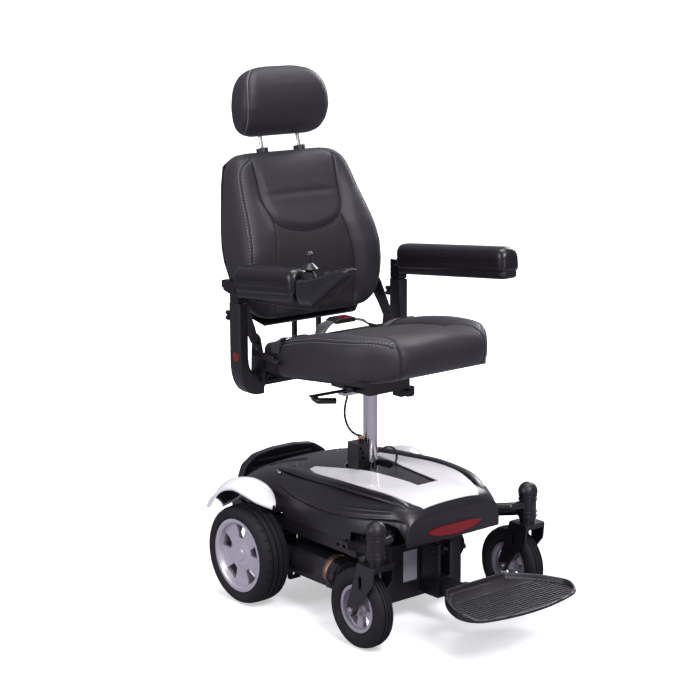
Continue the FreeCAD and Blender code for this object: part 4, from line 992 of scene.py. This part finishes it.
def build_seat():
    rings = []
    for y, width, bottom, top in stations(SEAT_STATIONS, 50):
        height = top - bottom
        low_radius, high_radius = min(0.018, height * 0.3), min(0.034, height * 0.45)
        rings.append(upright_ring(y, section(width, bottom, top, low_radius, high_radius, 7, 24)))
    ob = moulded_body("seat_upholstery", loft(rings), "leatherette_seat",
                      voxel=0.005, smoothing=12)
    # the middle panel lies lower than its surround
    co, no = surface(ob)
    inner = ((1 - smoothstep(0.112, 0.158, np.abs(co[:, 0])))
             * smoothstep(-0.385, -0.315, co[:, 1] - AXLE_Y))
    co[:, 2] -= smoothstep(0.2, 0.7, no[:, 2]) * inner * 0.016
    set_positions(ob, co)
    smooth_mesh(ob, 3)

    down = (0, 0, -1)
    edge, corner, middle = (spline(line, 0.003)
                            for line in (SEAT_EDGE, SEAT_CORNER, whole_line(SEAT_MIDDLE_HALF)))
    edges = lay_lines(both_sides(edge), ob, 3)
    corners = lay_lines(both_sides(corner), ob, 3)
    middles = lay_lines([axle_line(middle)], ob, 3, down)
    pin = np.maximum(bell(line_distance(co, edges + corners + middles), 0.010),
                     smoothstep(0.3, 0.8, -no[:, 2]))
    inflate(ob, pin, cap=0.014)
    smooth_mesh(ob, 2)
    subdivide(ob)

    edges = lay_lines(edges, ob, 2)
    corners = lay_lines(corners, ob, 2)
    middles = lay_lines(middles, ob, 2, down)
    groove(ob, edges, depth=0.0018, width=0.0032)
    groove(ob, corners, depth=0.0026, width=0.0034)
    groove(ob, middles, depth=0.0028, width=0.0036)
    co, no = surface(ob)
    panel = np.vstack([axle_line(middle)[:, :2],
                       [(0.128, AXLE_Y + 0.02), (-0.128, AXLE_Y + 0.02)]])
    distance = inside_distance(co[:, 0], co[:, 1], panel)
    mark_panel(ob, np.where(no[:, 2] > 0.0, distance, -0.01))
    attach(ob, "seat", replaces="seat_cushion")

    for name, lines in (("edge", edges), ("corner", corners), ("middle", middles)):
        cord = tubes("seat_%s_cord" % name, lines, 0.0010, "thread_dark")
        attach(cord, "seat")
    rows = rows_beside(edges, ob, offset=0.0055, trim=(2, 2))
    stitching = stitches("seat_stitching", ob, rows, "thread_light",
                         length=0.0056, gap=0.0032, radius=0.00072)
    attach(stitching, "seat")
    return ob


# ============================================================== softened CAD pieces
# voxel size, smoothing steps
SOFTENED = {
    "arm_knob_R": (0.0010, 3), "arm_knob_L": (0.0010, 3), "joystick_stick": (0.0007, 4),
    "rear_guard": (0.0022, 4), "swivel_lever": (0.0012, 4), "recline_lever": (0.0012, 4),
    "belt_buckle": (0.0009, 3),
}


def soften_pieces():
    """Rounds the corners of CAD pieces with modifiers."""
    for name, (voxel, steps) in SOFTENED.items():
        fine = NODES[name].modifiers.new("fine", "REMESH")
        fine.mode = "VOXEL"
        fine.voxel_size = voxel
        fine.use_smooth_shade = True
        soft = NODES[name].modifiers.new("soft", "SMOOTH")
        soft.factor = 0.5
        soft.iterations = steps


# ============================================================== armrests
ARM_X = 0.270
ARM_Y, ARM_Z = 0.030, 0.823           # origin of the armrest, which rises to the front
ARM_TILT = math.radians(5.5)
ARM_REAR = -0.029
# name, half width, bottom, top, top radius, bottom radius, front rounding, front setback
ARM_PARTS = [("pad", 0.0325, -0.0035, 0.0630, 0.024, 0.009, 0.024, 0.0),
             ("shell", 0.0285, -0.0190, 0.0060, 0.004, 0.010, 0.014, 0.006)]


def arm_point(side, x, y, z):
    cos, sin = math.cos(ARM_TILT), math.sin(ARM_TILT)
    return from_axle(side * ARM_X + x, ARM_Y + y * cos + z * sin, ARM_Z - y * sin + z * cos)


def build_arm(tag, side, length):
    body = "armrest_" + tag
    # stations crowd together at both ends
    along = np.concatenate([np.linspace(0, 0.02, 9)[:-1], np.linspace(0.02, 1, 60)[:-12],
                            1 - np.linspace(0.18, 0, 26) ** 1.35])
    for part, half, low, high, top_radius, bottom_radius, rounding, setback in ARM_PARTS:
        is_pad = part == "pad"
        front = -0.030 - length + setback
        middle = (low + high) / 2 - 0.004
        rings = []
        for t in along:
            y = ARM_REAR + (front - ARM_REAR) * t
            # the right shell keeps a square front
            full = end_round(abs(y - front), rounding) if tag == "L" or is_pad else 1.0
            full *= 0.75 + 0.25 * end_round(abs(y - ARM_REAR), 0.008)
            width = half * (0.52 + 0.48 * full)
            top = middle + (high - middle) * (0.55 + 0.45 * full)
            bottom = middle + (low - middle) * (0.55 + 0.45 * full)
            outline = section(width, bottom, top, min(bottom_radius, width * 0.8),
                              min(top_radius, width * 0.9), 6, 10)
            rings.append([arm_point(side, x, y, z) for x, z in outline])
        ob = moulded_body("arm_%s_%s" % (part, tag), loft(rings),
                          "pad_pu" if is_pad else "black_plastic", voxel=0.0025, smoothing=6)
        if is_pad:
            seams = [[arm_point(side, edge * half, y, 0.014)
                      for y in np.linspace(ARM_REAR - 0.012, front + 0.016, 60)]
                     for edge in (-1, 1)]
            _, no = surface(ob)
            distance = groove(ob, seams, depth=0.0016, width=0.0018)
            pin = np.maximum(bell(distance, 0.006), smoothstep(0.2, 0.7, -no[:, 2]))
            inflate(ob, pin, cap=0.003, pressure=2.0, frames=8)
        attach(ob, body, replaces="arm_rest_" + tag if is_pad else None)
    # flat tongue at the rear end
    rings = []
    for y in np.linspace(-0.040, 0.0100, 14):
        half_height = 0.0132 * (0.4 + 0.6 * end_round(0.0108 - y, 0.012))
        outline = section(0.0076, -half_height, half_height, 0.002, 0.002, 3, 4)
        rings.append([arm_point(side, x, y, z) for x, z in outline])
    tongue = mesh_object("arm_tongue_" + tag, *loft(rings), "black_paint")
    attach(tongue, body)


def build_boot():
    """Rubber boot of the joystick: a ribbed dome about the pivot, so it turns with the stick."""
    centre_x, centre_y, centre_z = from_axle(-ARM_X, -0.262, 0.893)
    sides, steps = 48, 40
    rings = []
    for i in range(steps + 1):
        rise = math.radians(-24 + (76 + 24) * i / steps)
        radius = 0.0176 + 0.0007 * math.sin(i / steps * 2 * math.pi * 6.5)
        flat = radius * math.cos(rise)
        rings.append([(centre_x + flat * math.cos(turn), centre_y + flat * math.sin(turn),
                       centre_z + radius * math.sin(rise))
                      for turn in (2 * math.pi * k / sides for k in range(sides))])
    ob = mesh_object("stick_boot", *loft(rings, caps=False), "bellows_rubber")
    thicken(ob, thickness=0.0009, offset=-1)
    attach(ob, "stick")


# ============================================================== seat fittings
def build_belt(seat):
    """Webbing lap belt draped over the rear of the cushion."""
    half, columns = 0.0185, 9
    for (tag, side), end_x in zip(SIDES, (-0.022, 0.032)):
        path = spline([(side * 0.2245, -0.064, 0.665), (side * 0.2245, -0.069, 0.690),
                       (side * 0.205, -0.080, 0.712), (side * 0.160, -0.086, 0.716),
                       (side * 0.105, -0.078, 0.712), (side * 0.062, -0.056, 0.714),
                       (end_x + side * 0.008, -0.0445, 0.7185), (end_x, -0.0440, 0.7190)], 0.004)
        tree = BVHTree.FromObject(seat, bpy.context.evaluated_depsgraph_get())
        verts = []
        for point, tangent in zip(path, unit(np.gradient(path, axis=0))):
            across = np.array([-tangent[1], tangent[0], 0.0])
            if np.linalg.norm(across) < 0.3 or abs(tangent[2]) > 0.8:
                across = np.array([0.0, 1.0, 0.0])
            across /= np.linalg.norm(across)
            if across[1] < 0:
                across = -across
            for k in range(columns):
                q = np.array(from_axle(*point)) + across * half * (2 * k / (columns - 1) - 1)
                hit = tree.ray_cast(Vector((q[0], q[1], q[2] + 0.06)), Vector((0, 0, -1)))[0]
                if hit is not None and abs(q[0]) < 0.208:
                    # on the cushion, but back to the path height near the inner end
                    rest = hit.z + 0.0020
                    free = 1 - smoothstep(0.015, 0.085, abs(q[0] - end_x))
                    q[2] = max(rest, rest * (1 - free) + q[2] * free)
                verts.append(q)
        faces = grid_faces(len(path), columns, flip=side < 0)
        ob = mesh_object("belt_" + tag, verts, faces, "webbing")
        smooth_mesh(ob, 4)
        thicken(ob, thickness=0.0016, offset=1)
        attach(ob, "seat", replaces="lap_belt" if tag == "R" else None)


def build_bellows():
    """Folded bellows at the rear of the cushion."""
    rings = []
    for t in np.linspace(0, 1, 49):
        fold = 0.5 + 0.5 * math.cos(t * 2 * math.pi * 6)
        outline = section(0.2095 + 0.0085 * fold, 0.6110 - 0.0060 * fold,
                          0.6800 + 0.0060 * fold - 0.004 * t, 0.012, 0.018, 6, 12)
        rings.append(upright_ring(-0.066 + 0.058 * t, outline))
    attach(mesh_object("seat_bellows", *loft(rings), "bellows_rubber"), "seat")


# outer and inner curve of the J-shaped cover, left side: x, z
ARM_COVER_OUTER = [(0.2845, 0.700), (0.2845, 0.640), (0.2825, 0.607), (0.2745, 0.580),
                   (0.2600, 0.559), (0.2420, 0.5475), (0.2240, 0.5440)]
ARM_COVER_INNER = [(0.2060, 0.5960), (0.2220, 0.5965), (0.2370, 0.6010), (0.2480, 0.6130),
                   (0.2545, 0.6330), (0.2555, 0.6600)]


def build_arm_cover(tag, side):
    outline = np.vstack([[(0.2555, 0.790), (0.2845, 0.790)], spline(ARM_COVER_OUTER, 0.003),
                         [(0.2060, 0.5440)], spline(ARM_COVER_INNER, 0.003)]) * (side, 1)
    n = len(outline)
    verts = upright_ring(0.0075, outline) + upright_ring(0.0525, outline)
    triangles = tessellate_polygon([[Vector((x, z, 0)) for x, z in outline]])
    faces = [tuple(t) for t in triangles]
    faces += [tuple(i + n for i in reversed(t)) for t in triangles]
    faces += [(i, i + n, (i + 1) % n + n, (i + 1) % n) for i in range(n)]
    ob = moulded_body("arm_shroud_" + tag, (verts, faces), "black_plastic",
                      voxel=0.0022, smoothing=9)
    attach(ob, "seat", replaces="arm_cover_" + tag)


# ============================================================== fenders
# y, then x and z of the inner edge, the crown and the outer edge, right side with x positive
FENDER_STATIONS = [
    (0.141, 0.2540, 0.2240, 0.2830, 0.2490, 0.3030, 0.2350),
    (0.108, 0.2310, 0.2470, 0.2720, 0.2850, 0.3135, 0.2500),
    (0.085, 0.2275, 0.2640, 0.2710, 0.3040, 0.3160, 0.2760),
    (0.054, 0.2268, 0.2860, 0.2700, 0.3215, 0.3160, 0.3010),
    (0.010, 0.2265, 0.3090, 0.2690, 0.3325, 0.3160, 0.3150),
    (-0.020, 0.2265, 0.3110, 0.2680, 0.3310, 0.3130, 0.3130),
    (-0.045, 0.2275, 0.3030, 0.2640, 0.3190, 0.3020, 0.3020),
    (-0.062, 0.2320, 0.2920, 0.2580, 0.3030, 0.2880, 0.2900),
    (-0.078, 0.2400, 0.2790, 0.2510, 0.2810, 0.2640, 0.2770),
    (-0.084, 0.2465, 0.2735, 0.2500, 0.2730, 0.2540, 0.2720),
]
LEFT_FENDER_DROP = 0.013


def build_fender(tag, side):
    """Thin white wing with a dark lining under it, partly the dark underside and partly painted
    shade, and a stay.
    """
    n = 56
    drop = LEFT_FENDER_DROP if side > 0 else 0.0
    inner, crown, outer = (
        spread_points(spline([(side * row[c], row[0], row[c + 1] - drop)
                              for row in FENDER_STATIONS], 0.003), n)
        for c in (1, 3, 5))
    # parabola over the three lines, with a lip turned down at each edge
    rows = [inner * (1 - u) * (1 - 2 * u) + crown * 4 * u * (1 - u) + outer * u * (2 * u - 1)
            for u in np.linspace(0, 1, 15)]
    rows = ([rows[0] + (0, 0, -0.009)] + rows
            + [rows[-1] + (side * 0.0012, 0, -0.004), rows[-1] + (side * 0.0014, 0, -0.011)])
    verts = [from_axle(*q) for row in rows for q in row]
    faces = grid_faces(len(rows), n, flip=side < 0)
    shell = mesh_object("fender_shell_" + tag, verts, faces, "white_gloss")
    if surface(shell)[1][:, 2].mean() < 0:
        shell.data.flip_normals()
        faces = [face[::-1] for face in faces]
    co, no = surface(shell)
    # the dark lining, partly painted shade, leaves out the outermost points all round
    kept = [face for face in faces
            if all(n <= v < (len(rows) - 1) * n and 1 <= v % n <= n - 2 for v in face)]
    used = sorted({v for face in kept for v in face})
    index = {v: i for i, v in enumerate(used)}
    # painted shade: this black sheet under the white wing stands in part for the shadow beneath
    # it
    shade_lining = mesh_object("fender_shade_lining_" + tag, co[used] - no[used] * 0.0027,
                         [tuple(index[v] for v in face) for face in kept], "black_plastic")
    thicken(shell, thickness=0.0022, offset=-1)
    thicken(shade_lining, thickness=0.0010, offset=-1)
    smooth_mesh(shell, 2, factor=0.3)
    attach(shell, "base", replaces="fender_" + tag)
    attach(shade_lining, "base")
    line = axle_line([(side * 0.2205, -0.004, 0.2285), (side * 0.2290, -0.004, 0.236),
                      (side * 0.2290, -0.004, 0.312)])
    stay = tubes("fender_stay_" + tag, [line], 0.0042, "black_paint", sides=10)
    attach(stay, "base")


# ============================================================== body cover
# x, y, z from rear to front along the left shoulder
CREST_LINE = [(0.140, 0.030, 0.3330), (0.150, -0.050, 0.3405), (0.1575, -0.150, 0.3455),
              (0.1600, -0.240, 0.3505), (0.1555, -0.320, 0.3500), (0.1445, -0.385, 0.3475),
              (0.1310, -0.435, 0.3400), (0.1220, -0.470, 0.3270)]


def build_crest(tag, side):
    """Raised shoulder of the cover, wider towards the outside."""
    centres = spline(np.array(CREST_LINE) * (side, 1, 1), 0.005)
    rings = []
    for i, (x, y, z) in enumerate(centres):
        t = i / (len(centres) - 1)
        full = end_round(t, 0.16) * end_round(1 - t, 0.20)
        width, height = 0.004 + 0.0135 * full, 0.001 + 0.0085 * full
        ring = []
        for angle in np.linspace(0, 2 * math.pi, 25)[:-1]:
            cos, sin = math.cos(angle), math.sin(angle)
            ring.append(from_axle(x + width * cos * (1.25 if cos * side > 0 else 0.8), y,
                                  z - 0.0025 + height * sin * (1 if sin > 0 else 0.6)))
        rings.append(ring)
    ob = mesh_object("cover_crest_" + tag, *loft(rings), "shroud_plastic")
    attach(ob, "base")


# y, z of the crease along the flank
CREASE = [(-0.500, 0.300), (-0.460, 0.306), (-0.420, 0.3035), (-0.372, 0.2975), (-0.314, 0.2930),
          (-0.232, 0.2895), (-0.162, 0.2910), (-0.100, 0.2960), (-0.040, 0.3080)]
# y, z of the fold below the shoulder
FOLD = [(-0.470, 0.318), (-0.440, 0.3235), (-0.365, 0.3170), (-0.285, 0.3105), (-0.240, 0.3070)]
# flat shapes on top, |x| and y: outline, rise, edge start, edge end
COVER_SHAPES = [
    ([(0.128, 0.100), (0.048, 0.034), (0.072, 0.006), (0.098, 0.020), (0.150, 0.066)],
     -0.0034, -0.0012, 0.0012),
    ([(0.100, 0.012), (0.138, 0.046), (0.158, 0.020), (0.128, -0.022)],
     0.0030, -0.0015, 0.0025),
    ([(0.0, -0.405), (0.026, -0.400), (0.044, -0.250), (0.056, -0.190), (0.0, -0.185)],
     -0.0030, -0.001, 0.001),
]


def build_cover():
    """The CAD cover with a flank crease, a fold and shallow shapes on top."""
    source = NODES["main_shroud"]
    mesh = bpy.data.meshes.new_from_object(source)
    mesh.transform(source.matrix_world)
    mesh.materials.clear()
    mesh.materials.append(MATERIALS["shroud_plastic"])
    ob = bpy.data.objects.new("body_cover", mesh)
    scene.collection.objects.link(ob)
    remesh(ob, 0.0021)
    smooth_mesh(ob, 3)
    co, _ = surface(ob)
    out, y, z = np.abs(co[:, 0]), co[:, 1] - AXLE_Y, co[:, 2]
    # the flank steps inwards below the crease
    crease = at_stations(CREASE, y)[0]
    window = (smoothstep(-0.495, -0.455, y) * (1 - smoothstep(-0.075, 0.0, y))
              * smoothstep(0.135, 0.165, out))
    move = -0.0075 * smoothstep(-0.0015, 0.0055, crease - z) * window
    # shallow hollow just above it
    move -= 0.0030 * (bell(z - crease - 0.0075, 0.0055) * smoothstep(-0.46, -0.40, y)
                      * (1 - smoothstep(-0.24, -0.16, y)) * smoothstep(0.14, 0.17, out))
    # raised fold
    move += 0.0034 * (bell(z - at_stations(FOLD, y)[0], 0.0042) * smoothstep(-0.475, -0.43, y)
                      * (1 - smoothstep(-0.30, -0.23, y)) * smoothstep(0.14, 0.165, out))
    co[:, 0] += np.sign(co[:, 0]) * move
    top = smoothstep(0.300, 0.315, z)
    for outline, rise, start, end in COVER_SHAPES:
        co[:, 2] += rise * smoothstep(start, end, inside_distance(out, y, outline)) * top
    set_positions(ob, co)
    attach(ob, "base", replaces="main_shroud")


def build_latch(tag, side):
    line = axle_line([(side * 0.166, 0.014, 0.3285), (side * 0.172, 0.000, 0.3300),
                      (side * 0.176, -0.014, 0.3295)])
    ob = tubes("cover_latch_" + tag, [line], 0.0032, "steel", sides=12)
    attach(ob, "base")


# ============================================================== joystick housing
# y, half width, bottom z, top z
POD_STATIONS = [
    (-0.2445, 0.0300, 0.8320, 0.8860), (-0.250, 0.0325, 0.8260, 0.8890),
    (-0.262, 0.0340, 0.8245, 0.8905), (-0.300, 0.0350, 0.8290, 0.8960),
    (-0.330, 0.0325, 0.8500, 0.9070), (-0.360, 0.0285, 0.8740, 0.9185),
    (-0.390, 0.0235, 0.8970, 0.9295), (-0.412, 0.0190, 0.9130, 0.9360),
    (-0.424, 0.0155, 0.9220, 0.9335),
]
# distance from the middle of the housing, y
POD_DECK = [(-0.01, -0.252), (0.0265, -0.252), (0.0270, -0.300), (0.0225, -0.350),
            (0.0150, -0.405), (0.0, -0.414), (-0.01, -0.414)]
POD_CABLE = [(-0.262, -0.290, 0.8300), (-0.256, -0.270, 0.8160), (-0.250, -0.230, 0.8080),
             (-0.247, -0.150, 0.8030), (-0.247, -0.070, 0.7990), (-0.250, -0.020, 0.8000),
             (-0.254, 0.002, 0.8050)]


def build_pod():
    rear, front = POD_STATIONS[0][0], POD_STATIONS[-1][0]
    places = rear + (front - rear) * np.linspace(0, 1, 60)
    rings = []
    for y, width, bottom, top in zip(places, *at_stations(POD_STATIONS, places)):
        height = top - bottom
        outline = section(width, bottom, top, min(0.020, height * 0.45, width * 0.8),
                          min(0.009, height * 0.4), 7, 10)
        # the flanks draw in below the deck edge
        rings.append([from_axle(-ARM_X + x * (1 - 0.16 * max(0.0, (top - 0.012 - z) / height)),
                                y, z) for x, z in outline])
    ob = moulded_body("joystick_housing", loft(rings), "pod_plastic", voxel=0.0017, smoothing=8)
    # sunk deck plate, and a fine line along the flanks below it
    co, no = surface(ob)
    y = co[:, 1] - AXLE_Y
    deck = inside_distance(np.abs(co[:, 0] + ARM_X), y, POD_DECK)
    co[:, 2] -= 0.0010 * smoothstep(-0.0008, 0.0008, deck) * smoothstep(0.3, 0.6, no[:, 2])
    below_top = co[:, 2] - at_stations(POD_STATIONS, y)[-1] + 0.0155
    flank = smoothstep(0.35, 0.7, np.abs(no[:, 0]))
    co -= no * (0.0009 * bell(below_top, 0.0011) * flank)[:, None]
    set_positions(ob, co)
    attach(ob, "armrest_R", replaces="joystick_pod")
    # cable back along the armrest
    wire = tubes("pod_cable", [spline(axle_line(POD_CABLE), 0.004)], 0.0026, "cable", sides=10)
    attach(wire, "armrest_R")


# ============================================================== footplate
# x, y of the left half of the outline, from rear to front
FOOT_HALF = [(0.0, -0.5650), (0.060, -0.5652), (0.096, -0.5680), (0.110, -0.5790),
             (0.140, -0.6120), (0.1640, -0.6480), (0.1800, -0.6860), (0.1835, -0.7100),
             (0.1780, -0.7360), (0.1600, -0.7570), (0.1300, -0.7690), (0.085, -0.7790),
             (0.040, -0.7850), (0.0, -0.7870)]
# inset from the outline, z, share of the rim height
FOOT_RINGS = [(0.030, 0.1262, 0), (0.0040, 0.1262, 0), (0.0012, 0.1268, 0), (0.0, 0.1290, 0),
              (0.0, 0.1330, 0.55), (0.0012, 0.1330, 0.88), (0.0032, 0.1330, 1.0),
              (0.0056, 0.1330, 0.97), (0.0080, 0.1330, 0.72), (0.0100, 0.1330, 0.22),
              (0.0130, 0.1328, 0.0), (0.040, 0.1326, 0.0), (0.070, 0.1326, 0.0)]
FOOT_RIM_HEIGHT = 0.0128
RIB_PITCH = 0.0105


def build_foot():
    """Shallow tray with a rim that is low at the front, tread ribs and two lugs."""
    half = spline(FOOT_HALF, 0.004)
    loop = np.vstack([half[:-1], (half * (-1, 1))[:0:-1]])
    loop = resample(np.vstack([loop, loop[:1]]), 0.004)[:-1]
    along = np.roll(loop, -1, 0) - np.roll(loop, 1, 0)
    outward = (np.stack([-along[:, 1], along[:, 0]], 1)
               / np.linalg.norm(along, axis=1)[:, None])
    rim = 0.12 + 0.88 * smoothstep(-0.762, -0.715, loop[:, 1])
    rings = []
    for inset, z, share in FOOT_RINGS:
        q = loop - outward * inset
        # an inset may not cross the middle
        q[:, 0] = np.where(loop[:, 0] * q[:, 0] < 0, 0, q[:, 0])
        rings.append([from_axle(x, y, z + FOOT_RIM_HEIGHT * share * k)
                      for (x, y), k in zip(q, rim)])
    tray = moulded_body("foot_tray", loft(rings), "black_plastic", voxel=0.0018, smoothing=3)
    attach(tray, "foot_board", replaces="footplate")

    lines = []
    for y in np.arange(-0.640, -0.779, -RIB_PITCH):
        near = loop[np.abs(loop[:, 1] - y) < 0.006]
        reach = np.abs(near[:, 0]).max() - (0.014 if y > -0.74 else 0.006)
        lines.append(axle_line([(x, y, 0.1334) for x in np.linspace(-reach, reach, 40)]))
    ribs = tubes("foot_ribs", lines, 0.0017, "black_plastic", sides=10)
    attach(ribs, "foot_board")

    inner, outer = 0.0305, 0.0595
    for tag, side in SIDES:
        rings = []
        for x in np.linspace(inner, outer, 9):
            # the ends of the lug are eased by a small inset
            inset = 0.0012 * (1 - min(1, min(x - inner, outer - x) / 0.0036)) ** 2
            outline = rounded_rectangle(-0.600 + inset, -0.5445 - inset, 0.1050 + inset,
                                        0.1300 - inset, (0.010, 0.010, 0.003, 0.006), 6, 6)
            rings.append([from_axle(side * x, y, z) for y, z in outline])
        lug = mesh_object("foot_lug_" + tag, *loft(rings), "black_paint")
        attach(lug, "foot_board")


# ============================================================== lift and motor fittings
def turned_part(name, centre, axis, profile, material, sides):
    """Turned part; profile is (distance along the axis, radius)."""
    axis = Vector(axis).normalized()
    u = axis.orthogonal().normalized()
    v = axis.cross(u)
    base = Vector(from_axle(*centre))
    angles = [2 * math.pi * k / sides for k in range(sides)]
    rings = [[base + axis * t + (u * math.cos(a) + v * math.sin(a)) * radius for a in angles]
             for t, radius in profile]
    return mesh_object(name, *loft(rings), material)


LIFT_WIRE = [(-0.078, -0.170, 0.5547), (-0.078, -0.170, 0.547), (-0.084, -0.170, 0.528),
             (-0.086, -0.170, 0.505), (-0.080, -0.170, 0.480), (-0.066, -0.170, 0.458),
             (-0.048, -0.170, 0.444), (-0.036, -0.171, 0.440), (-0.0335, -0.171, 0.4385),
             (-0.033, -0.171, 0.4345)]
LIFT_HOSE = [(0.020, -0.186, 0.392), (0.030, -0.196, 0.402), (0.046, -0.206, 0.400),
             (0.055, -0.211, 0.380), (0.050, -0.209, 0.352), (0.040, -0.204, 0.330)]


def build_lift_fittings():
    gland = turned_part("lift_gland", (-0.034, -0.171, 0.4325), (0, 0, 1),
                        [(0, 0.0088), (0.0006, 0.0092), (0.0036, 0.0092), (0.0042, 0.0070),
                         (0.0060, 0.0066), (0.0066, 0.0058), (0.0070, 0.0040)], "brass", 6)
    for polygon in gland.data.polygons:
        polygon.use_smooth = False
    attach(gland, "base")
    wire = tubes("lift_wire", [spline(axle_line(LIFT_WIRE), 0.003)], 0.0032, "cable", sides=14)
    attach(wire, "base", replaces="lift_cable")
    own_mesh(wire)
    hose = tubes("lift_hose", [spline(axle_line(LIFT_HOSE), 0.003)], 0.0028, "cable", sides=10)
    attach(hose, "base")


def build_motor_fittings(tag, side):
    band = turned_part("motor_band_" + tag, (side * 0.183, -0.266, 0.125), (0, 1, 0),
                       [(0, 0.0410), (0.0005, 0.0442), (0.0015, 0.0450), (0.0185, 0.0450),
                        (0.0195, 0.0442), (0.020, 0.0410)], "copper", 64)
    attach(band, "base")
    cap = turned_part("brush_cap_" + tag, (side * 0.2225, -0.256, 0.111), (side, 0, 0),
                      [(0, 0.0090), (0.004, 0.0092), (0.0050, 0.0086), (0.0052, 0.0052),
                       (0.0040, 0.0050), (0.0040, 0.001)], "black_plastic", 24)
    attach(cap, "base")


# ============================================================== stage
def build_floor():
    """Pale floor: glowing away from the chair for the camera, duller for all other rays."""
    mesh = bpy.data.meshes.new("floor")
    half = 30
    mesh.from_pydata([(-half, -half, 0), (half, -half, 0), (half, half, 0), (-half, half, 0)],
                     [], [(0, 1, 2, 3)])
    floor = bpy.data.objects.new("floor", mesh)
    scene.collection.objects.link(floor)
    t = Shader("floor_pale")
    color = t.drift(t.noise(scale=2, detail=3), (0.86, 0.855, 0.87), (0.88, 0.875, 0.89))
    base = t.principled(color, 0.7, spec=0.1)
    far = t.add("ShaderNodeVectorMath", {0: t.coords}, operation="LENGTH").outputs["Value"]
    strength = t.remap(far, low=0.9, high=2.4, to_low=0.46, to_high=1.3, smooth=True)
    glow = t.add("ShaderNodeEmission", {0: (1, 1, 1, 1), 1: strength}).outputs[0]
    seen = t.add("ShaderNodeAddShader", {0: base, 1: glow}).outputs[0]
    dull = t.add("ShaderNodeBsdfDiffuse", {0: (0.30, 0.285, 0.33, 1)}).outputs[0]
    is_camera = t.add("ShaderNodeLightPath").outputs["Is Camera Ray"]
    mixed = t.add("ShaderNodeMixShader", {0: is_camera, 1: dull, 2: seen}).outputs[0]
    t.tree.links.new(mixed, t.output)
    mesh.materials.append(t.material)


def build_world():
    """Soft violet light, with plain white behind the chair for the camera."""
    scene.world = bpy.data.worlds.new("studio")
    scene.world.use_nodes = True
    tree = scene.world.node_tree
    tree.nodes.clear()
    output = add_node(tree, "ShaderNodeOutputWorld")
    soft = add_node(tree, "ShaderNodeBackground", {0: (0.90, 0.85, 1.0, 1), 1: 0.36})
    plain = add_node(tree, "ShaderNodeBackground", {0: (1, 1, 1, 1), 1: 1.3})
    is_camera = add_node(tree, "ShaderNodeLightPath").outputs["Is Camera Ray"]
    mixed = add_node(tree, "ShaderNodeMixShader",
                     {0: is_camera, 1: soft.outputs[0], 2: plain.outputs[0]})
    tree.links.new(mixed.outputs[0], output.inputs[0])


def area_light(name, place, target, width, height, power, color):
    light = bpy.data.lights.new(name, "AREA")
    light.shape = "RECTANGLE"
    light.size = width
    light.size_y = height
    light.energy = power
    light.color = color
    ob = bpy.data.objects.new(name, light)
    scene.collection.objects.link(ob)
    ob.location = place
    ob.rotation_mode = "QUATERNION"
    ob.rotation_quaternion = (Vector(target) - Vector(place)).to_track_quat("-Z", "Y")


def build_lights():
    area_light("key", (-0.9, -3.2, 3.6), target=(0, 0, 0.7), width=1.5, height=1.5,
               power=140, color=(1.0, 0.985, 1.0))
    area_light("side", (-3.6, 0.4, 2.0), target=(0, 0, 0.7), width=1.2, height=2.2,
               power=60, color=(0.97, 0.96, 1.0))
    area_light("rim", (3.0, 1.2, 2.4), target=(0, 0, 0.8), width=1.2, height=2.0,
               power=75, color=(1.0, 0.98, 1.0))
    area_light("top", (0.1, 0.3, 4.2), target=(0, 0, 0), width=2.0, height=2.0,
               power=100, color=(1, 1, 1))
    area_light("low", (-1.6, -3.6, 0.7), target=(0, -0.2, 0.3), width=1.0, height=1.0,
               power=16, color=(0.98, 0.96, 1.0))


def build_camera():
    """Camera ahead of the chair on its right, turned from +y to +x, pitched down, rolled."""
    heading, pitch, roll = (math.radians(a) for a in (39.5604, 12.3478, -0.2034))
    forward = Vector((math.sin(heading) * math.cos(pitch), math.cos(heading) * math.cos(pitch),
                      -math.sin(pitch)))
    level = Vector((math.cos(heading), -math.sin(heading), 0))
    upright = level.cross(forward)
    right = level * math.cos(roll) + upright * math.sin(roll)
    up = -level * math.sin(roll) + upright * math.cos(roll)
    camera = bpy.data.cameras.new("camera")
    camera.sensor_width = 36
    camera.lens = 92.8409143
    camera.clip_start, camera.clip_end = 0.1, 60
    ob = bpy.data.objects.new("camera", camera)
    scene.collection.objects.link(ob)
    placement = Matrix((right, up, -forward)).transposed().to_4x4()
    placement.translation = Vector(from_axle(-2.9255, -3.6295, 1.6521))
    ob.matrix_world = placement
    scene.camera = ob


# ============================================================== build
build_back()
build_head()
seat = build_seat()
soften_pieces()
build_arm("R", -1, length=0.236)
build_arm("L", 1, length=0.412)
build_boot()
build_belt(seat)
build_bellows()
for build in (build_fender, build_crest):
    for tag, side in SIDES:
        build(tag, side)
build_cover()
for tag, side in SIDES:
    build_latch(tag, side)
build_pod()
for tag, side in SIDES:
    build_arm_cover(tag, side)
build_foot()
build_lift_fittings()
for tag, side in SIDES:
    build_motor_fittings(tag, side)
build_floor()
build_world()
build_lights()
build_camera()
scene.view_settings.view_transform = "Standard"

bpy.context.view_layer.update()
